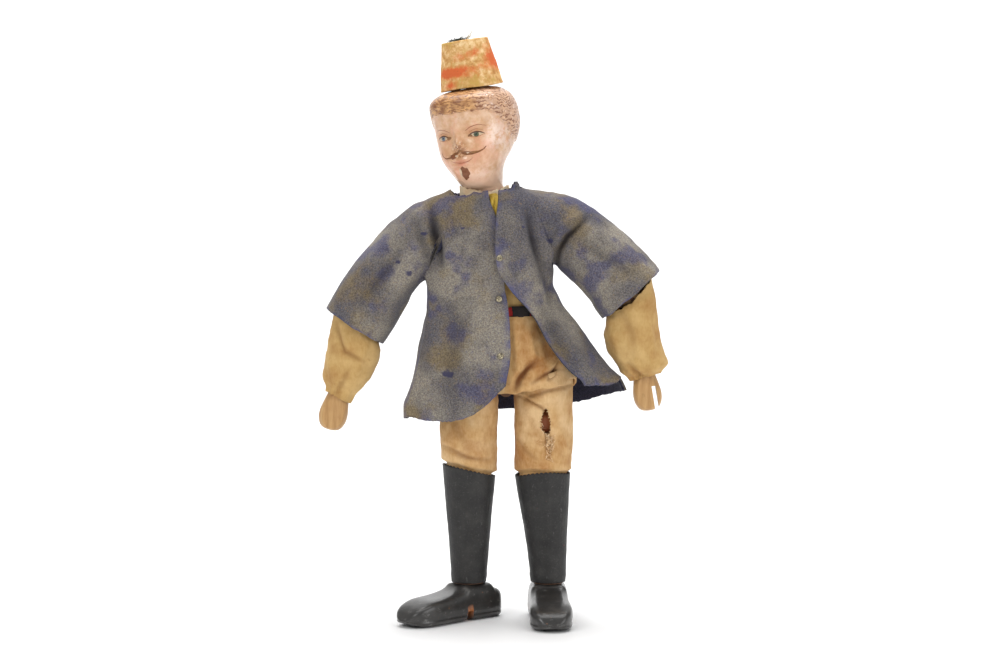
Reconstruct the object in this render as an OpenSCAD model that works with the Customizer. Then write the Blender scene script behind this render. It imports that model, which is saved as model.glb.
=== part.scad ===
// A turned wooden doll in cloth clothes, held together by elastic cord.
// The origin is on the ground under the middle of the doll, +Z is up and the doll faces -Y.
// Right and left are the doll's own, so its right side lies towards -X.

/* [Stance] */
// Height of the hip joints above the ground
hip_height = 88; // [84:1:92]
// Distance between the two hip joints
hip_spacing = 27.1; // [26.6:0.1:30]
// Sideways place of the middle of the hips
pelvis_x = 4.85; // [0:0.05:8]
// How far the standing line lies behind the origin
body_y = 5.5; // [0:0.5:10]
// Lean of the body to its right, in degrees
torso_lean = 6; // [2:1:8]
// Turn of the face to its right, in degrees
head_turn = 27; // [0:1:45]
// Extra lean of the head over the body, in degrees
head_lean = 2.8; // [0:0.1:4]
// Right upper arm out from straight down, in degrees
right_arm_out = 40; // [34:1:46]
// Left upper arm out from straight down, in degrees
left_arm_out = 47; // [42:1:52]
// Right forearm out from straight down, in degrees
right_forearm_out = 15; // [8:0.1:20]
// Left forearm out from straight down, in degrees
left_forearm_out = 9.5; // [4:0.1:14]
// Left shin out from straight down, in degrees
left_shin_out = 2.4; // [0:0.1:3]
// Right foot turned out, in degrees
right_foot_out = 48; // [20:1:60]
// Left foot turned out, in degrees
left_foot_out = 2; // [0:1:20]

/* [Body block] */
// Length from the hip line to the neck seat
torso_len = 66; // [63:1:66]
// Diameter of the turned chest
chest_d = 31; // [30:0.5:31.5]
// Front to back thickness where the turned body is flattened
torso_thick = 22; // [20:0.5:24]
// Drop of the shoulder joints below the neck seat
shoulder_drop = 10; // [9:0.5:11]
// Distance between the shoulder joints
shoulder_spacing = 41.8; // [41:0.1:43]
// Rise of the neck joint above the neck seat
neck_rise = 1.5; // [1:0.5:3]
// Height of the block's flat underside above the hip line
pelvis_rise = 5.5; // [5:0.1:6]
// Width of the tongue between the legs
tongue_w = 5; // [4:0.1:5]
// How far the tongue reaches below the hip line
tongue_drop = 6; // [4:0.5:6.5]
// Front to back depth of the tongue
tongue_depth = 16; // [10:0.5:17]

/* [Joints and cord] */
// Diameter of the shoulder balls
shoulder_ball_d = 14; // [13:0.1:14.5]
// Diameter of the elbow balls
elbow_ball_d = 11.2; // [10.4:0.1:11.6]
// Diameter of the hip balls
hip_ball_d = 15; // [14:0.1:15.4]
// Diameter of the knee balls
knee_ball_d = 13; // [12:0.1:13.4]
// Diameter of the neck ball
neck_ball_d = 14; // [13:0.1:14.4]
// Room between a ball and its seat
seat_gap = 0.3; // [0.25:0.01:0.35]
// Diameter of the elastic cord
cord_d = 1.8; // [1.4:0.1:2]
// Room round the cord in its holes
cord_gap = 0.35; // [0.25:0.01:0.5]
// Diameter of the cross pins
pin_d = 1.6; // [1.2:0.1:1.8]
// Room between a pin and the cord's eye
pin_gap = 0.06; // [0.04:0.01:0.1]
// Outer diameter of the eye that the cord makes round a pin
eye_d = 4; // [3.6:0.1:4.2]
// Diameter of the knot in the far end of a cord
knot_d = 3.6; // [3:0.1:3.8]
// Half length of the middle piece of a cross cord
cord_middle_reach = 5.4; // [5:0.1:6]

/* [Arms] */
// Length from shoulder to elbow
upper_arm_len = 42; // [40:0.5:44]
// Largest diameter of the upper arm
upper_arm_d = 12.8; // [12:0.1:13.4]
// Length from elbow to the tip of the hand
forearm_len = 41.6; // [40:0.1:44]
// Largest diameter of the forearm
forearm_d = 11.2; // [10.6:0.1:11.6]
// Diameter of the wrist
wrist_d = 7.4; // [6.6:0.1:8]
// Width of the hand
hand_w = 10.4; // [9.6:0.1:11]
// Thickness of the hand
hand_thick = 7.2; // [6.4:0.1:8]
// Length of the hand
hand_len = 14; // [13:0.5:15]
// Width of the slot in the hand
hand_slot_w = 1.5; // [1.2:0.1:1.8]
// Length of the slot in the hand
hand_slot_len = 9; // [7:0.5:10]
// How far the slot lies outside the middle of the hand
hand_slot_side = 2.6; // [2.2:0.1:2.8]

/* [Legs] */
// Length from hip to knee
thigh_len = 30; // [29:0.5:31]
// Largest diameter of the thigh
thigh_d = 15.6; // [14.6:0.1:16]
// Largest diameter of the shin
calf_d = 14.2; // [13.4:0.1:14.6]
// Diameter of the ankle
ankle_d = 11.2; // [10.6:0.1:11.6]
// Depth of the cord's hole in a forearm or shin
cord_hole_depth = 14; // [12:0.5:16]

/* [Feet] */
// Length of a foot
foot_len = 43.5; // [41:0.5:45]
// Length of a foot behind the ankle's axis
heel_len = 11; // [10:0.5:12]
// Widest place of a foot
foot_w = 15.5; // [14.5:0.1:16]
// Height of a foot at the ankle seam
foot_h = 13; // [12.5:0.1:13.5]
// Width of the slot under the instep
foot_slot_w = 2.5; // [2:0.1:3]
// Height of the slot under the instep
foot_slot_h = 4; // [3:0.1:4.6]
// How far the slot lies in front of the ankle's axis
foot_slot_forward = 5.4; // [4.6:0.1:6]

/* [Head] */
// Width of the head
head_w = 29.4; // [28:0.1:30]
// Depth of the head from face to back
head_depth = 33; // [31:0.1:34]
// Height of the crown above the neck joint
crown_height = 38.5; // [37.4:0.1:39]
// Diameter of the neck
neck_d = 12.8; // [12:0.1:13]

/* [Fez] */
// Diameter of the fez at its foot
fez_foot_d = 23.2; // [21:0.1:24]
// Diameter of the fez at its top
fez_top_d = 18.2; // [16:0.1:19]
// Height of the fez
fez_h = 17; // [15:0.5:18]
// Gap between the crown and the fez
fez_gap = 0.4; // [0.3:0.1:0.8]
// Thickness of the fez's cloth cover
fez_cloth_t = 0.6; // [0.4:0.1:0.8]
// Diameter of the peg that holds the fez
fez_peg_d = 3; // [2.6:0.1:3.4]
// Length of the fez's peg
fez_peg_len = 12; // [10:0.5:14]
// Width of the tuft of thread
tuft_w = 5.4; // [4:0.1:7]

/* [Felt coat] */
// Thickness of the felt
felt_t = 1.5; // [1.2:0.1:1.7]
// Rise of the coat's neck edge above the neck seat
coat_neck_rise = 3; // [2:0.5:4]
// Drop of the longest hem below the hips
coat_drop = 14.6; // [12:0.1:17]
// Half width of the coat at the armpits
coat_half_w = 24; // [23:0.5:25]
// Depth of the coat from the body's axis to its front or back at the chest
coat_depth = 15.4; // [15:0.1:16]
// How far the left front panel lies over the right one
panel_lap = 2; // [1.9:0.1:2.4]
// Radius of the sleeve at its cuff
sleeve_cuff_r = 13.2; // [12.8:0.1:13.8]
// Length of the sleeve along the upper arm
sleeve_len = 46; // [44:0.5:47]
// How far outside the body's axis the armhole seam lies
armhole_out = 16.4; // [16.2:0.1:17]
// Room between neighbouring pieces of cloth
cloth_gap = 0.35; // [0.3:0.01:0.4]
// Diameter of a coat stud
stud_d = 2.4; // [2:0.1:2.8]
// Height of a coat stud
stud_h = 1; // [0.8:0.1:1.2]

/* [Cotton clothes] */
// Thickness of the cotton
cotton_t = 0.8; // [0.6:0.05:0.9]
// Radius of a trouser leg at the hip
leg_top_r = 10.8; // [10.6:0.1:11]
// Radius of a trouser leg at the knee
leg_knee_r = 10.2; // [9.8:0.1:10.4]
// Radius of the gathered end inside the boot
leg_gather_r = 8.6; // [8.4:0.1:8.7]
// How far the trouser seat stands off the flat of the body
seat_ease = 2.2; // [2:0.1:2.4]
// Rise of the trouser waist above the hips
waist_rise = 23; // [21:0.5:24]
// Width of the belt
belt_w = 3.2; // [2.6:0.1:3.8]
// Thickness of the belt
belt_t = 0.8; // [0.6:0.05:0.9]
// Radius of a false sleeve near the elbow
cuff_top_r = 9.6; // [9.2:0.1:9.8]
// Radius of a false sleeve at the wrist
cuff_wrist_r = 5.1; // [5:0.05:5.4]
// Length of a false sleeve below the elbow
cuff_len = 29; // [27:0.5:30]
// Radius of the shirt collar
collar_r = 8.7; // [8.6:0.05:8.8]
// Height of the shirt collar
collar_h = 2.8; // [2.6:0.1:3]
// Width of the neck ribbon
ribbon_w = 2.6; // [2.4:0.1:2.8]

/* [Oilcloth boots] */
// Thickness of the oilcloth
oilcloth_t = 0.7; // [0.5:0.05:0.8]
// Radius of a boot shaft at its top
boot_top_r = 9.7; // [9.6:0.05:9.9]
// Radius of a boot shaft at the ankle
boot_ankle_r = 6.4; // [6.35:0.05:6.6]
// Drop of the boot tops below the knees
boot_drop = 3.6; // [3:0.1:5]
// Slant of the right boot's top edge, from the middle to its inner side
right_boot_slant = 2.2; // [1:0.1:2.6]
// Rise of the left boot's top edge at its middle
left_boot_rise = 1.6; // [0.5:0.1:2]

/* [Hidden] */
// Heights that follow from the body block and the limbs
shoulder_height = torso_len - shoulder_drop;
neck_height = torso_len + neck_rise;
coat_top = hip_height + torso_len + coat_neck_rise;
coat_hem = hip_height - coat_drop;
waist_height = hip_height + waist_rise;
boot_top = hip_height - thigh_len - boot_drop;
seat_depth = torso_thick / 2 + seat_ease;
$fn = 48;

// One side of the doll is told from the other by a sign.
RIGHT = -1;
LEFT = 1;

shoulder_r = shoulder_ball_d / 2;
elbow_r = elbow_ball_d / 2;
hip_r = hip_ball_d / 2;
knee_r = knee_ball_d / 2;
neck_r = neck_ball_d / 2;
cord_r = cord_d / 2;
hole_r = cord_r + cord_gap;
eye_r = eye_d / 2;
slot_w = cord_d + cord_gap + cord_gap;
// One overrun serves all cuts
cut = 1;
// How much of a ball a seat takes in, as an angle from the seat's middle
seat_angle = 45;
// Play that keeps two glued pieces from sharing a face
glue_gap = 0.03;

function pick(s, right, left) = s < 0 ? right : left;
function mix(a, b, share) = a + (b - a) * share;
function arm_out(s) = pick(s, right_arm_out, left_arm_out);
function forearm_out(s) = pick(s, right_forearm_out, left_forearm_out);
function shin_out(s) = pick(s, 0, left_shin_out);
function foot_out(s) = pick(s, right_foot_out, left_foot_out);
function shin_len() = hip_height - thigh_len - foot_h;
function ankle_x(s) = pelvis_x + s * hip_spacing / 2 + shin_len() * tan(shin_out(s));

// Places of the joints
module at_torso() translate([pelvis_x, body_y, hip_height]) rotate([0, -torso_lean, 0]) children();
module at_neck() at_torso() translate([0, 0, neck_height]) children();
module at_head() at_neck() rotate([0, -head_lean, 0]) rotate([0, 0, -head_turn]) children();
module at_shoulder_seat(s) at_torso() translate([s * shoulder_spacing / 2, 0, shoulder_height]) children();
module at_upper_arm(s) at_shoulder_seat(s) rotate([0, torso_lean - s * arm_out(s), 0]) children();
module at_forearm(s) {
    bend = s * (arm_out(s) - forearm_out(s));
    at_upper_arm(s) translate([0, 0, -upper_arm_len]) rotate([0, bend, 0]) children();
}
module at_hip(s) translate([pelvis_x + s * hip_spacing / 2, body_y, hip_height]) children();
module at_knee(s) at_hip(s) translate([0, 0, -thigh_len]) children();
module at_shin(s) at_knee(s) rotate([0, -s * shin_out(s), 0]) children();
module at_foot(s) translate([ankle_x(s), body_y, 0]) rotate([0, 0, s * foot_out(s)]) children();

// A smooth line through hand-placed points, with a few steps in each span
function bend_point(a, b, c, d, t) =
    0.5 * (2 * b + (c - a) * t + (2 * a - 5 * b + 4 * c - d) * t * t + (3 * b - a - 3 * c + d) * t * t * t);
function smooth_line(points, steps = 4) = [
    for (i = [0 : len(points) - 2])
        for (j = [0 : steps - 1])
            bend_point(points[max(i - 1, 0)], points[i], points[i + 1],
                points[min(i + 2, len(points) - 1)], j / steps),
    points[len(points) - 1]
];

// Wood that the lathe turns: a smooth outline of radius and length, closed on its axis
module turned(outline) {
    line = smooth_line(outline);
    rotate_extrude() polygon(concat([[0, line[0][1]]], line, [[0, line[len(line) - 1][1]]]));
}

// The slot that the cord swings in and the hole for the cross pin, in a ball at the origin.
// The slot opens towards +Z and the pin lies along Y.
module cord_slot(r) {
    translate([-r - cut, -slot_w / 2, -eye_r - cord_gap]) cube([2 * r + 2 * cut, slot_w, 2 * r]);
    rotate([90, 0, 0]) cylinder(r = pin_d / 2 + glue_gap, h = 2 * r + cut, center = true);
}

// A cross pin along Y, a little shorter than the ball is wide
module cross_pin(r) {
    rotate([90, 0, 0]) cylinder(r = pin_d / 2, h = sqrt(4 * r * r - pin_d * pin_d) - glue_gap, center = true);
}

// The eye of a cord round a pin along Y
module cord_eye() rotate([90, 0, 0]) difference() {
    cylinder(r = eye_r, h = cord_d, center = true);
    cylinder(r = pin_d / 2 + pin_gap, h = cord_d + cut, center = true);
}

// A straight strand of cord that runs from the eye's rim along +Z
module strand(length) {
    start = pin_d / 2 + pin_gap + cord_gap;
    translate([0, 0, start]) cylinder(r = cord_r, h = length - start);
}

// A limb with a ball at each end, its upper ball at the origin and its body along -Z
module turned_limb(top_r, low_r, length, body_r, neck_share) {
    neck_top = top_r * neck_share;
    neck_low = low_r * neck_share;
    body_top = -1.25 * top_r;
    body_low = -length + 1.3 * low_r;
    outline = [
        [neck_top, -0.5 * top_r],
        [neck_top, body_top],
        [0.97 * body_r, mix(body_top, body_low, 0.28)],
        [body_r, mix(body_top, body_low, 0.5)],
        [0.93 * body_r, mix(body_top, body_low, 0.75)],
        [neck_low, body_low],
        [neck_low, -length + 0.5 * low_r]
    ];
    union() {
        sphere(r = top_r);
        translate([0, 0, -length]) sphere(r = low_r);
        turned(outline);
    }
}

// Body block
torso_shares = [
    [0.86, -0.12], [0.92, 0.06], [0.9, 0.16], [0.78, 0.3], [0.74, 0.38], [0.84, 0.52],
    [0.97, 0.68], [1, 0.8], [0.93, 0.9], [0.72, 0.965], [0.54, 1]
];
module torso_shape(grow) at_torso() intersection() {
    turned([for (p = torso_shares) [p[0] * chest_d / 2 + grow, p[1] * torso_len]]);
    translate([-chest_d, -torso_thick / 2 - grow, -torso_len])
        cube([2 * chest_d, torso_thick + 2 * grow, 3 * torso_len]);
}
module torso_block() color("burlywood") difference() {
    union() {
        difference() {
            torso_shape(0);
            translate([pelvis_x - chest_d, body_y - chest_d, 0])
                cube([2 * chest_d, 2 * chest_d, hip_height + pelvis_rise]);
        }
        tongue();
    }
    for (s = [RIGHT, LEFT]) {
        at_hip(s) sphere(r = hip_r + seat_gap);
        at_shoulder_seat(s) sphere(r = shoulder_r + seat_gap);
    }
    at_neck() sphere(r = neck_r + seat_gap);
    at_torso() translate([0, 0, shoulder_height]) rotate([0, 90, 0])
        cylinder(r = hole_r, h = chest_d + cut, center = true);
    at_hip(0) rotate([0, 90, 0]) cylinder(r = hole_r, h = tongue_w + 2 * cut, center = true);
    at_torso() translate([0, 0, shoulder_height]) cylinder(r = hole_r, h = torso_len - shoulder_height);
}

// The tongue between the legs that the hip cord passes through
module tongue() {
    round_r = tongue_w / 2;
    translate([pelvis_x - tongue_w / 2, body_y - tongue_depth / 2, hip_height - tongue_drop + round_r])
        cube([tongue_w, tongue_depth, tongue_drop + pelvis_rise]);
    translate([pelvis_x, body_y, hip_height - tongue_drop + round_r]) rotate([90, 0, 0])
        cylinder(r = round_r, h = tongue_depth, center = true);
}

// Middle pieces of the two cross cords, and their turning ends
module shoulder_cord() color("ivory") at_torso() translate([0, 0, shoulder_height]) rotate([0, 90, 0])
    cylinder(r = cord_r, h = 2 * cord_middle_reach, center = true);
module hip_cord() color("ivory") at_hip(0) rotate([0, 90, 0])
    cylinder(r = cord_r, h = tongue_w, center = true);
module cord_end(s, reach) {
    cord_eye();
    rotate([0, -s * 90, 0]) strand(reach);
}
module shoulder_cord_end(s) color("ivory") at_shoulder_seat(s)
    cord_end(s, shoulder_spacing / 2 - cord_middle_reach - seat_gap);
module hip_cord_end(s) color("ivory") at_hip(s)
    cord_end(s, hip_spacing / 2 - tongue_w / 2 - seat_gap);
module neck_cord() color("ivory") {
    at_head() rotate([0, 0, 90]) cord_eye();
    at_neck() rotate([180, 0, 0]) strand(neck_height - shoulder_height - cord_r - seat_gap);
}

// Arms
module upper_arm(s) color("peru") at_upper_arm(s) difference() {
    turned_limb(shoulder_r, elbow_r, upper_arm_len, upper_arm_d / 2, 0.66);
    cord_slot(shoulder_r);
    translate([0, 0, -upper_arm_len]) rotate([180, 0, 0]) cord_slot(elbow_r);
}
module arm_pins(s) color("saddlebrown") at_upper_arm(s) {
    cross_pin(shoulder_r);
    translate([0, 0, -upper_arm_len]) cross_pin(elbow_r);
}
module end_cord(length) {
    cord_eye();
    rotate([180, 0, 0]) strand(length);
    translate([0, 0, -length]) sphere(r = knot_d / 2);
}
// The hole that takes a cord's end, and the wider hollow for its knot
module knot_hole(depth) {
    translate([0, 0, -depth]) cylinder(r = hole_r, h = depth);
    translate([0, 0, -depth - knot_d / 2]) cylinder(r = knot_d / 2 + cord_gap, h = knot_d);
}
module elbow_cord(s) color("ivory") at_forearm(s) end_cord(cord_hole_depth);
module forearm(s) color("burlywood") at_forearm(s) difference() {
    wrist_z = -forearm_len + hand_len;
    rim = (elbow_r + seat_gap) * cos(seat_angle);
    union() {
        turned([
            [0.94 * forearm_d / 2, -rim], [forearm_d / 2, -0.2 * forearm_len],
            [0.97 * forearm_d / 2, -0.36 * forearm_len], [1.1 * wrist_d / 2, wrist_z + 0.2 * hand_len],
            [wrist_d / 2, wrist_z], [wrist_d / 2, wrist_z - 0.1 * hand_len]
        ]);
        hand(s);
    }
    sphere(r = elbow_r + seat_gap);
    knot_hole(cord_hole_depth);
}
// A rounded paddle with a slot, its flat side turned to the front on the right arm
module hand(s) rotate([0, 0, pick(s, 0, 0)]) translate([0, 0, -forearm_len]) difference() {
    intersection() {
        turned([
            [0, 0], [0.3 * hand_w, 0.05 * hand_len], [0.46 * hand_w, 0.22 * hand_len],
            [0.5 * hand_w, 0.45 * hand_len], [0.44 * hand_w, 0.72 * hand_len],
            [0.5 * wrist_d, hand_len]
        ]);
        translate([-hand_w, -hand_thick / 2, -cut]) cube([2 * hand_w, hand_thick, hand_len + 2 * cut]);
    }
    rotate([0, 0, pick(s, 90, 0)]) translate([hand_slot_side - hand_slot_w / 2, -hand_w, -cut])
        cube([hand_slot_w, 2 * hand_w, hand_slot_len + cut]);
}

// Legs
module thigh(s) color("peru") at_hip(s) difference() {
    turned_limb(hip_r, knee_r, thigh_len, thigh_d / 2, 0.68);
    cord_slot(hip_r);
    translate([0, 0, -thigh_len]) rotate([180, 0, 90]) cord_slot(knee_r);
}
module leg_pins(s) color("saddlebrown") at_hip(s) {
    cross_pin(hip_r);
    translate([0, 0, -thigh_len]) rotate([0, 0, 90]) cross_pin(knee_r);
}
module knee_cord(s) color("ivory") {
    at_knee(s) rotate([0, 0, 90]) cord_eye();
    at_shin(s) {
        rotate([180, 0, 0]) strand(cord_hole_depth);
        translate([0, 0, -cord_hole_depth]) sphere(r = knot_d / 2);
    }
}
module shin(s) color("burlywood") difference() {
    rim = (knee_r + seat_gap) * cos(seat_angle);
    at_shin(s) difference() {
        turned([
            [0.9 * calf_d / 2, -rim], [calf_d / 2, -0.2 * shin_len()],
            [0.97 * calf_d / 2, -0.4 * shin_len()], [1.04 * ankle_d / 2, -0.8 * shin_len()],
            [ankle_d / 2, -shin_len() - cut]
        ]);
        sphere(r = knee_r + seat_gap);
        knot_hole(cord_hole_depth);
    }
    // The shin ends level on the foot, however it leans
    translate([ankle_x(s) - foot_w, body_y - foot_w, 0]) cube([2 * foot_w, 2 * foot_w, foot_h + glue_gap]);
}

// Feet
// Shares of the foot's length from the heel, and of the ankle's height
foot_side_shares = [
    [0, 0], [0.005, 0.42], [0.035, 0.64], [0.1, 0.74], [0.118, 1], [0.407, 1], [0.45, 0.86],
    [0.53, 0.74], [0.62, 0.69], [0.76, 0.67], [0.87, 0.57], [0.95, 0.41], [0.99, 0.27], [1, 0.16],
    [0.985, 0.09], [0.93, 0.03], [0.84, 0]
];
// Shares of the foot's length from the heel, and of half its width
foot_top_shares = [
    [0, 0.3], [0.02, 0.52], [0.09, 0.76], [0.2, 0.8], [0.36, 0.76], [0.52, 0.84], [0.66, 0.97],
    [0.76, 1], [0.86, 0.93], [0.94, 0.72], [0.985, 0.42], [1, 0.2]
];
// Shares of half the foot's width, and of its height
foot_front_shares = [[1, 0], [1, 0.42], [0.94, 0.62], [0.8, 0.8], [0.8, 1]];
module foot(s) color([0.12, 0.12, 0.13]) at_foot(s) difference() {
    line = smooth_line([for (p = foot_top_shares) [p[1] * foot_w / 2, heel_len - p[0] * foot_len]], 2);
    side = [for (p = foot_side_shares) [heel_len - p[0] * foot_len, p[1] * foot_h]];
    front = [for (p = foot_front_shares) [p[0] * foot_w / 2, p[1] * foot_h]];
    mirrored_line = [for (i = [len(line) - 1 : -1 : 0]) [-line[i][0], line[i][1]]];
    mirrored_front = [for (i = [len(front) - 1 : -1 : 0]) [-front[i][0], front[i][1]]];
    intersection() {
        linear_extrude(height = foot_h) polygon(concat(line, mirrored_line));
        rotate([90, 0, 90]) linear_extrude(height = foot_w, center = true) polygon(side);
        translate([0, heel_len, 0]) rotate([90, 0, 0])
            linear_extrude(height = foot_len) polygon(concat(front, mirrored_front));
    }
    translate([-foot_w, -foot_slot_forward - foot_slot_w / 2, -cut])
        cube([2 * foot_w, foot_slot_w, foot_slot_h + cut]);
}

// A solid inside a looping side. The side is a function of a turn, in degrees, and of a share
// from the lowest row to the highest.
module filled(side_at, columns, rows) {
    points = [for (k = [0 : rows]) for (i = [0 : columns - 1]) side_at(360 * i / columns, k / rows)];
    ones = [for (i = [0 : columns - 1]) 1 / columns];
    ends = [for (k = [0, rows]) ones * [for (i = [0 : columns - 1]) points[k * columns + i]]];
    low = (rows + 1) * columns;
    skins = [
        for (k = [0 : rows - 1]) for (i = [0 : columns - 1])
            let (a = k * columns + i, b = k * columns + (i + 1) % columns)
            each [[a, a + columns, b + columns], [a, b + columns, b]]
    ];
    caps = [
        for (i = [0 : columns - 1]) each [
            [low, i, (i + 1) % columns],
            [low + 1, rows * columns + (i + 1) % columns, rows * columns + i]
        ]
    ];
    polyhedron(points = concat(points, ends), faces = concat(skins, caps));
}

// Shares of the crown's height, of half the head's width, of half its depth and of half its depth
// in front, and how square each round is
head_shares = [
    [0.05, 0.4, 0.3, 0.02, 2], [0.08, 0.46, 0.48, 0.07, 2], [0.13, 0.51, 0.57, 0.14, 2], [0.2, 0.57, 0.64, 0.21, 2.05],
    [0.28, 0.68, 0.7, 0.24, 2.1], [0.37, 0.82, 0.79, 0.17, 2.15], [0.46, 0.91, 0.87, 0.07, 2.2],
    [0.56, 0.97, 0.95, -0.02, 2.2], [0.66, 1, 1, -0.06, 2.15], [0.75, 1, 1.01, -0.04, 2.15],
    [0.83, 0.98, 0.99, 0.01, 2.2], [0.89, 0.92, 0.95, 0.06, 2.2], [0.94, 0.8, 0.85, 0.08, 2.1],
    [0.975, 0.6, 0.64, 0.06, 2], [1, 0.3, 0.32, 0.02, 2]
];
module head_shape() {
    last = len(head_shares) - 1;
    function reach(turn, square) =
        pow(pow(abs(cos(turn)), square) + pow(abs(sin(turn)), square), -1 / square);
    filled(function(turn, share)
        let (row = head_shares[round(share * last)], out = reach(turn, row[4]))
        [row[1] * head_w / 2 * out * cos(turn), (row[2] * out * sin(turn) - row[3]) * head_depth / 2,
         row[0] * crown_height], 32, last);
    // Nose, worn down to a low ridge
    nose_y = -0.9 * head_depth / 2;
    hull($fn = 16) {
        translate([0, nose_y, 0.6 * crown_height]) sphere(r = 0.03 * head_w, $fn = 16);
        translate([0, nose_y - 0.02 * head_w, 0.5 * crown_height]) sphere(r = 0.05 * head_w, $fn = 16);
    }
}
module head() color([0.87, 0.66, 0.55]) at_head() difference() {
    union() {
        head_shape();
        cylinder(r = neck_d / 2, h = 0.3 * crown_height);
        sphere(r = neck_r);
    }
    rotate([180, 0, 90]) cord_slot(neck_r);
    translate([0, 0, crown_height - fez_peg_len / 2 - glue_gap])
        cylinder(r = fez_peg_d / 2 + glue_gap, h = fez_peg_len);
}
module neck_pin() color("saddlebrown") at_head() rotate([0, 0, 90]) cross_pin(neck_r);

// Fez
module at_fez() at_head() translate([0, 0, crown_height + fez_gap]) children();
module fez() color("tan") at_fez() difference() {
    cylinder(r1 = fez_foot_d / 2 - fez_cloth_t, r2 = fez_top_d / 2 - fez_cloth_t, h = fez_h - fez_cloth_t);
    translate([0, 0, -cut]) cylinder(r = fez_peg_d / 2 + glue_gap, h = fez_peg_len / 2 + cut);
}
module fez_cover() color("goldenrod") at_fez() difference() {
    cylinder(r1 = fez_foot_d / 2, r2 = fez_top_d / 2, h = fez_h);
    translate([0, 0, -glue_gap]) cylinder(
        r1 = fez_foot_d / 2 - fez_cloth_t + glue_gap,
        r2 = fez_top_d / 2 - fez_cloth_t + glue_gap,
        h = fez_h - fez_cloth_t + 2 * glue_gap);
}
module fez_peg() color("saddlebrown") at_fez() translate([0, 0, -fez_gap - fez_peg_len / 2])
    cylinder(r = fez_peg_d / 2, h = fez_peg_len - glue_gap);
module fez_tuft() color("darkslategray") at_fez() translate([0, 0, fez_h + glue_gap]) intersection() {
    translate([0, 0, -0.35 * tuft_w]) sphere(r = 0.6 * tuft_w);
    cylinder(r = tuft_w, h = tuft_w);
}

// A closed sheet of cloth between an outer and an inner side.
// Each side is a function of a turn, in degrees, and of a share from the first row to the last.
module cloth(outer, inner, turn_from, turn_to, columns, rows) {
    loop = turn_to - turn_from >= 360;
    wide = loop ? columns : columns + 1;
    function spot(face, k, i) = (face * (rows + 1) + k) * wide + i % wide;
    points = [
        for (skin_at = [outer, inner])
            for (k = [0 : rows])
                for (i = [0 : wide - 1])
                    skin_at(mix(turn_from, turn_to, i / columns), k / rows)
    ];
    skins = [
        for (k = [0 : rows - 1]) for (i = [0 : columns - 1]) each [
            [spot(0, k, i), spot(0, k + 1, i), spot(0, k + 1, i + 1)],
            [spot(0, k, i), spot(0, k + 1, i + 1), spot(0, k, i + 1)],
            [spot(1, k, i), spot(1, k + 1, i + 1), spot(1, k + 1, i)],
            [spot(1, k, i), spot(1, k, i + 1), spot(1, k + 1, i + 1)]
        ]
    ];
    rims = [
        for (i = [0 : columns - 1]) each [
            [spot(0, 0, i), spot(0, 0, i + 1), spot(1, 0, i + 1)],
            [spot(0, 0, i), spot(1, 0, i + 1), spot(1, 0, i)],
            [spot(0, rows, i + 1), spot(0, rows, i), spot(1, rows, i)],
            [spot(0, rows, i + 1), spot(1, rows, i), spot(1, rows, i + 1)]
        ]
    ];
    sides = loop ? [] : [
        for (k = [0 : rows - 1]) each [
            [spot(0, k + 1, 0), spot(0, k, 0), spot(1, k, 0)],
            [spot(0, k + 1, 0), spot(1, k, 0), spot(1, k + 1, 0)],
            [spot(0, k, columns), spot(0, k + 1, columns), spot(1, k + 1, columns)],
            [spot(0, k, columns), spot(1, k + 1, columns), spot(1, k, columns)]
        ]
    ];
    polyhedron(points = points, faces = concat(skins, rims, sides));
}

// A tube of cloth round the Z axis, from a radius and a height as functions of turn and share
module cloth_tube(radius, height, thickness, columns, rows) {
    skin_at = function(inset) function(turn, share)
        [(radius(turn, share) - inset) * cos(turn), (radius(turn, share) - inset) * sin(turn), height(turn, share)];
    cloth(skin_at(0), skin_at(thickness), 0, 360, columns, rows);
}

// Coat. Shares of its height above the hem, and of its half width at the armpits, on each side
coat_right_shares = [
    [0, 1.57], [0.06, 1.57], [0.113, 1.52], [0.166, 1.46], [0.27, 1.36], [0.324, 1.3], [0.377, 1.22],
    [0.43, 1.16], [0.482, 1.08], [0.533, 1.05], [0.586, 1.05], [0.64, 1.02], [0.75, 0.95],
    [0.869, 0.85], [0.94, 0.71], [0.982, 0.57], [1, 0.5]
];
coat_left_shares = [
    [0, 1.9], [0.162, 1.74], [0.219, 1.55], [0.27, 1.42], [0.324, 1.3], [0.377, 1.2], [0.43, 1.09],
    [0.482, 0.96], [0.533, 0.88], [0.586, 0.83], [0.64, 0.86], [0.75, 0.9], [0.869, 0.85],
    [0.94, 0.72], [0.982, 0.58], [1, 0.5]
];
// Shares of its height above the hem, and of its depth at the chest
coat_front_shares = [
    [0, 1.22], [0.2, 1.14], [0.38, 1.05], [0.54, 1], [0.68, 1.01], [0.8, 0.98], [0.89, 0.93],
    [0.95, 0.86], [1, 0.74]
];
coat_back_shares = [
    [0, 1.42], [0.2, 1.2], [0.38, 1.02], [0.54, 0.97], [0.74, 0.98], [0.89, 0.92], [0.95, 0.85], [1, 0.74]
];
// Shares of its height above the hem, and of its half width at the armpits, from the middle of the neck
coat_right_edge_shares = [
    [0, -0.1], [0.1, -0.06], [0.16, -0.01], [0.324, 0.123], [0.5, 0.15], [0.58, 0.13], [0.69, 0.14],
    [0.8, 0.14], [0.89, 0.108], [0.96, 0.04], [1, 0.03]
];
coat_left_edge_shares = [
    [0, 1.3], [0.183, 1.084], [0.218, 0.968], [0.335, 0.694], [0.462, 0.482], [0.58, 0.18], [0.65, 0.06],
    [0.7, 0.04], [0.89, 0.11], [0.96, 0.158], [1, 0.17]
];
coat_height = coat_top - coat_hem;
function coat_axis_x(z) = pelvis_x - max(z - hip_height, 0) * tan(torso_lean);
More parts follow.
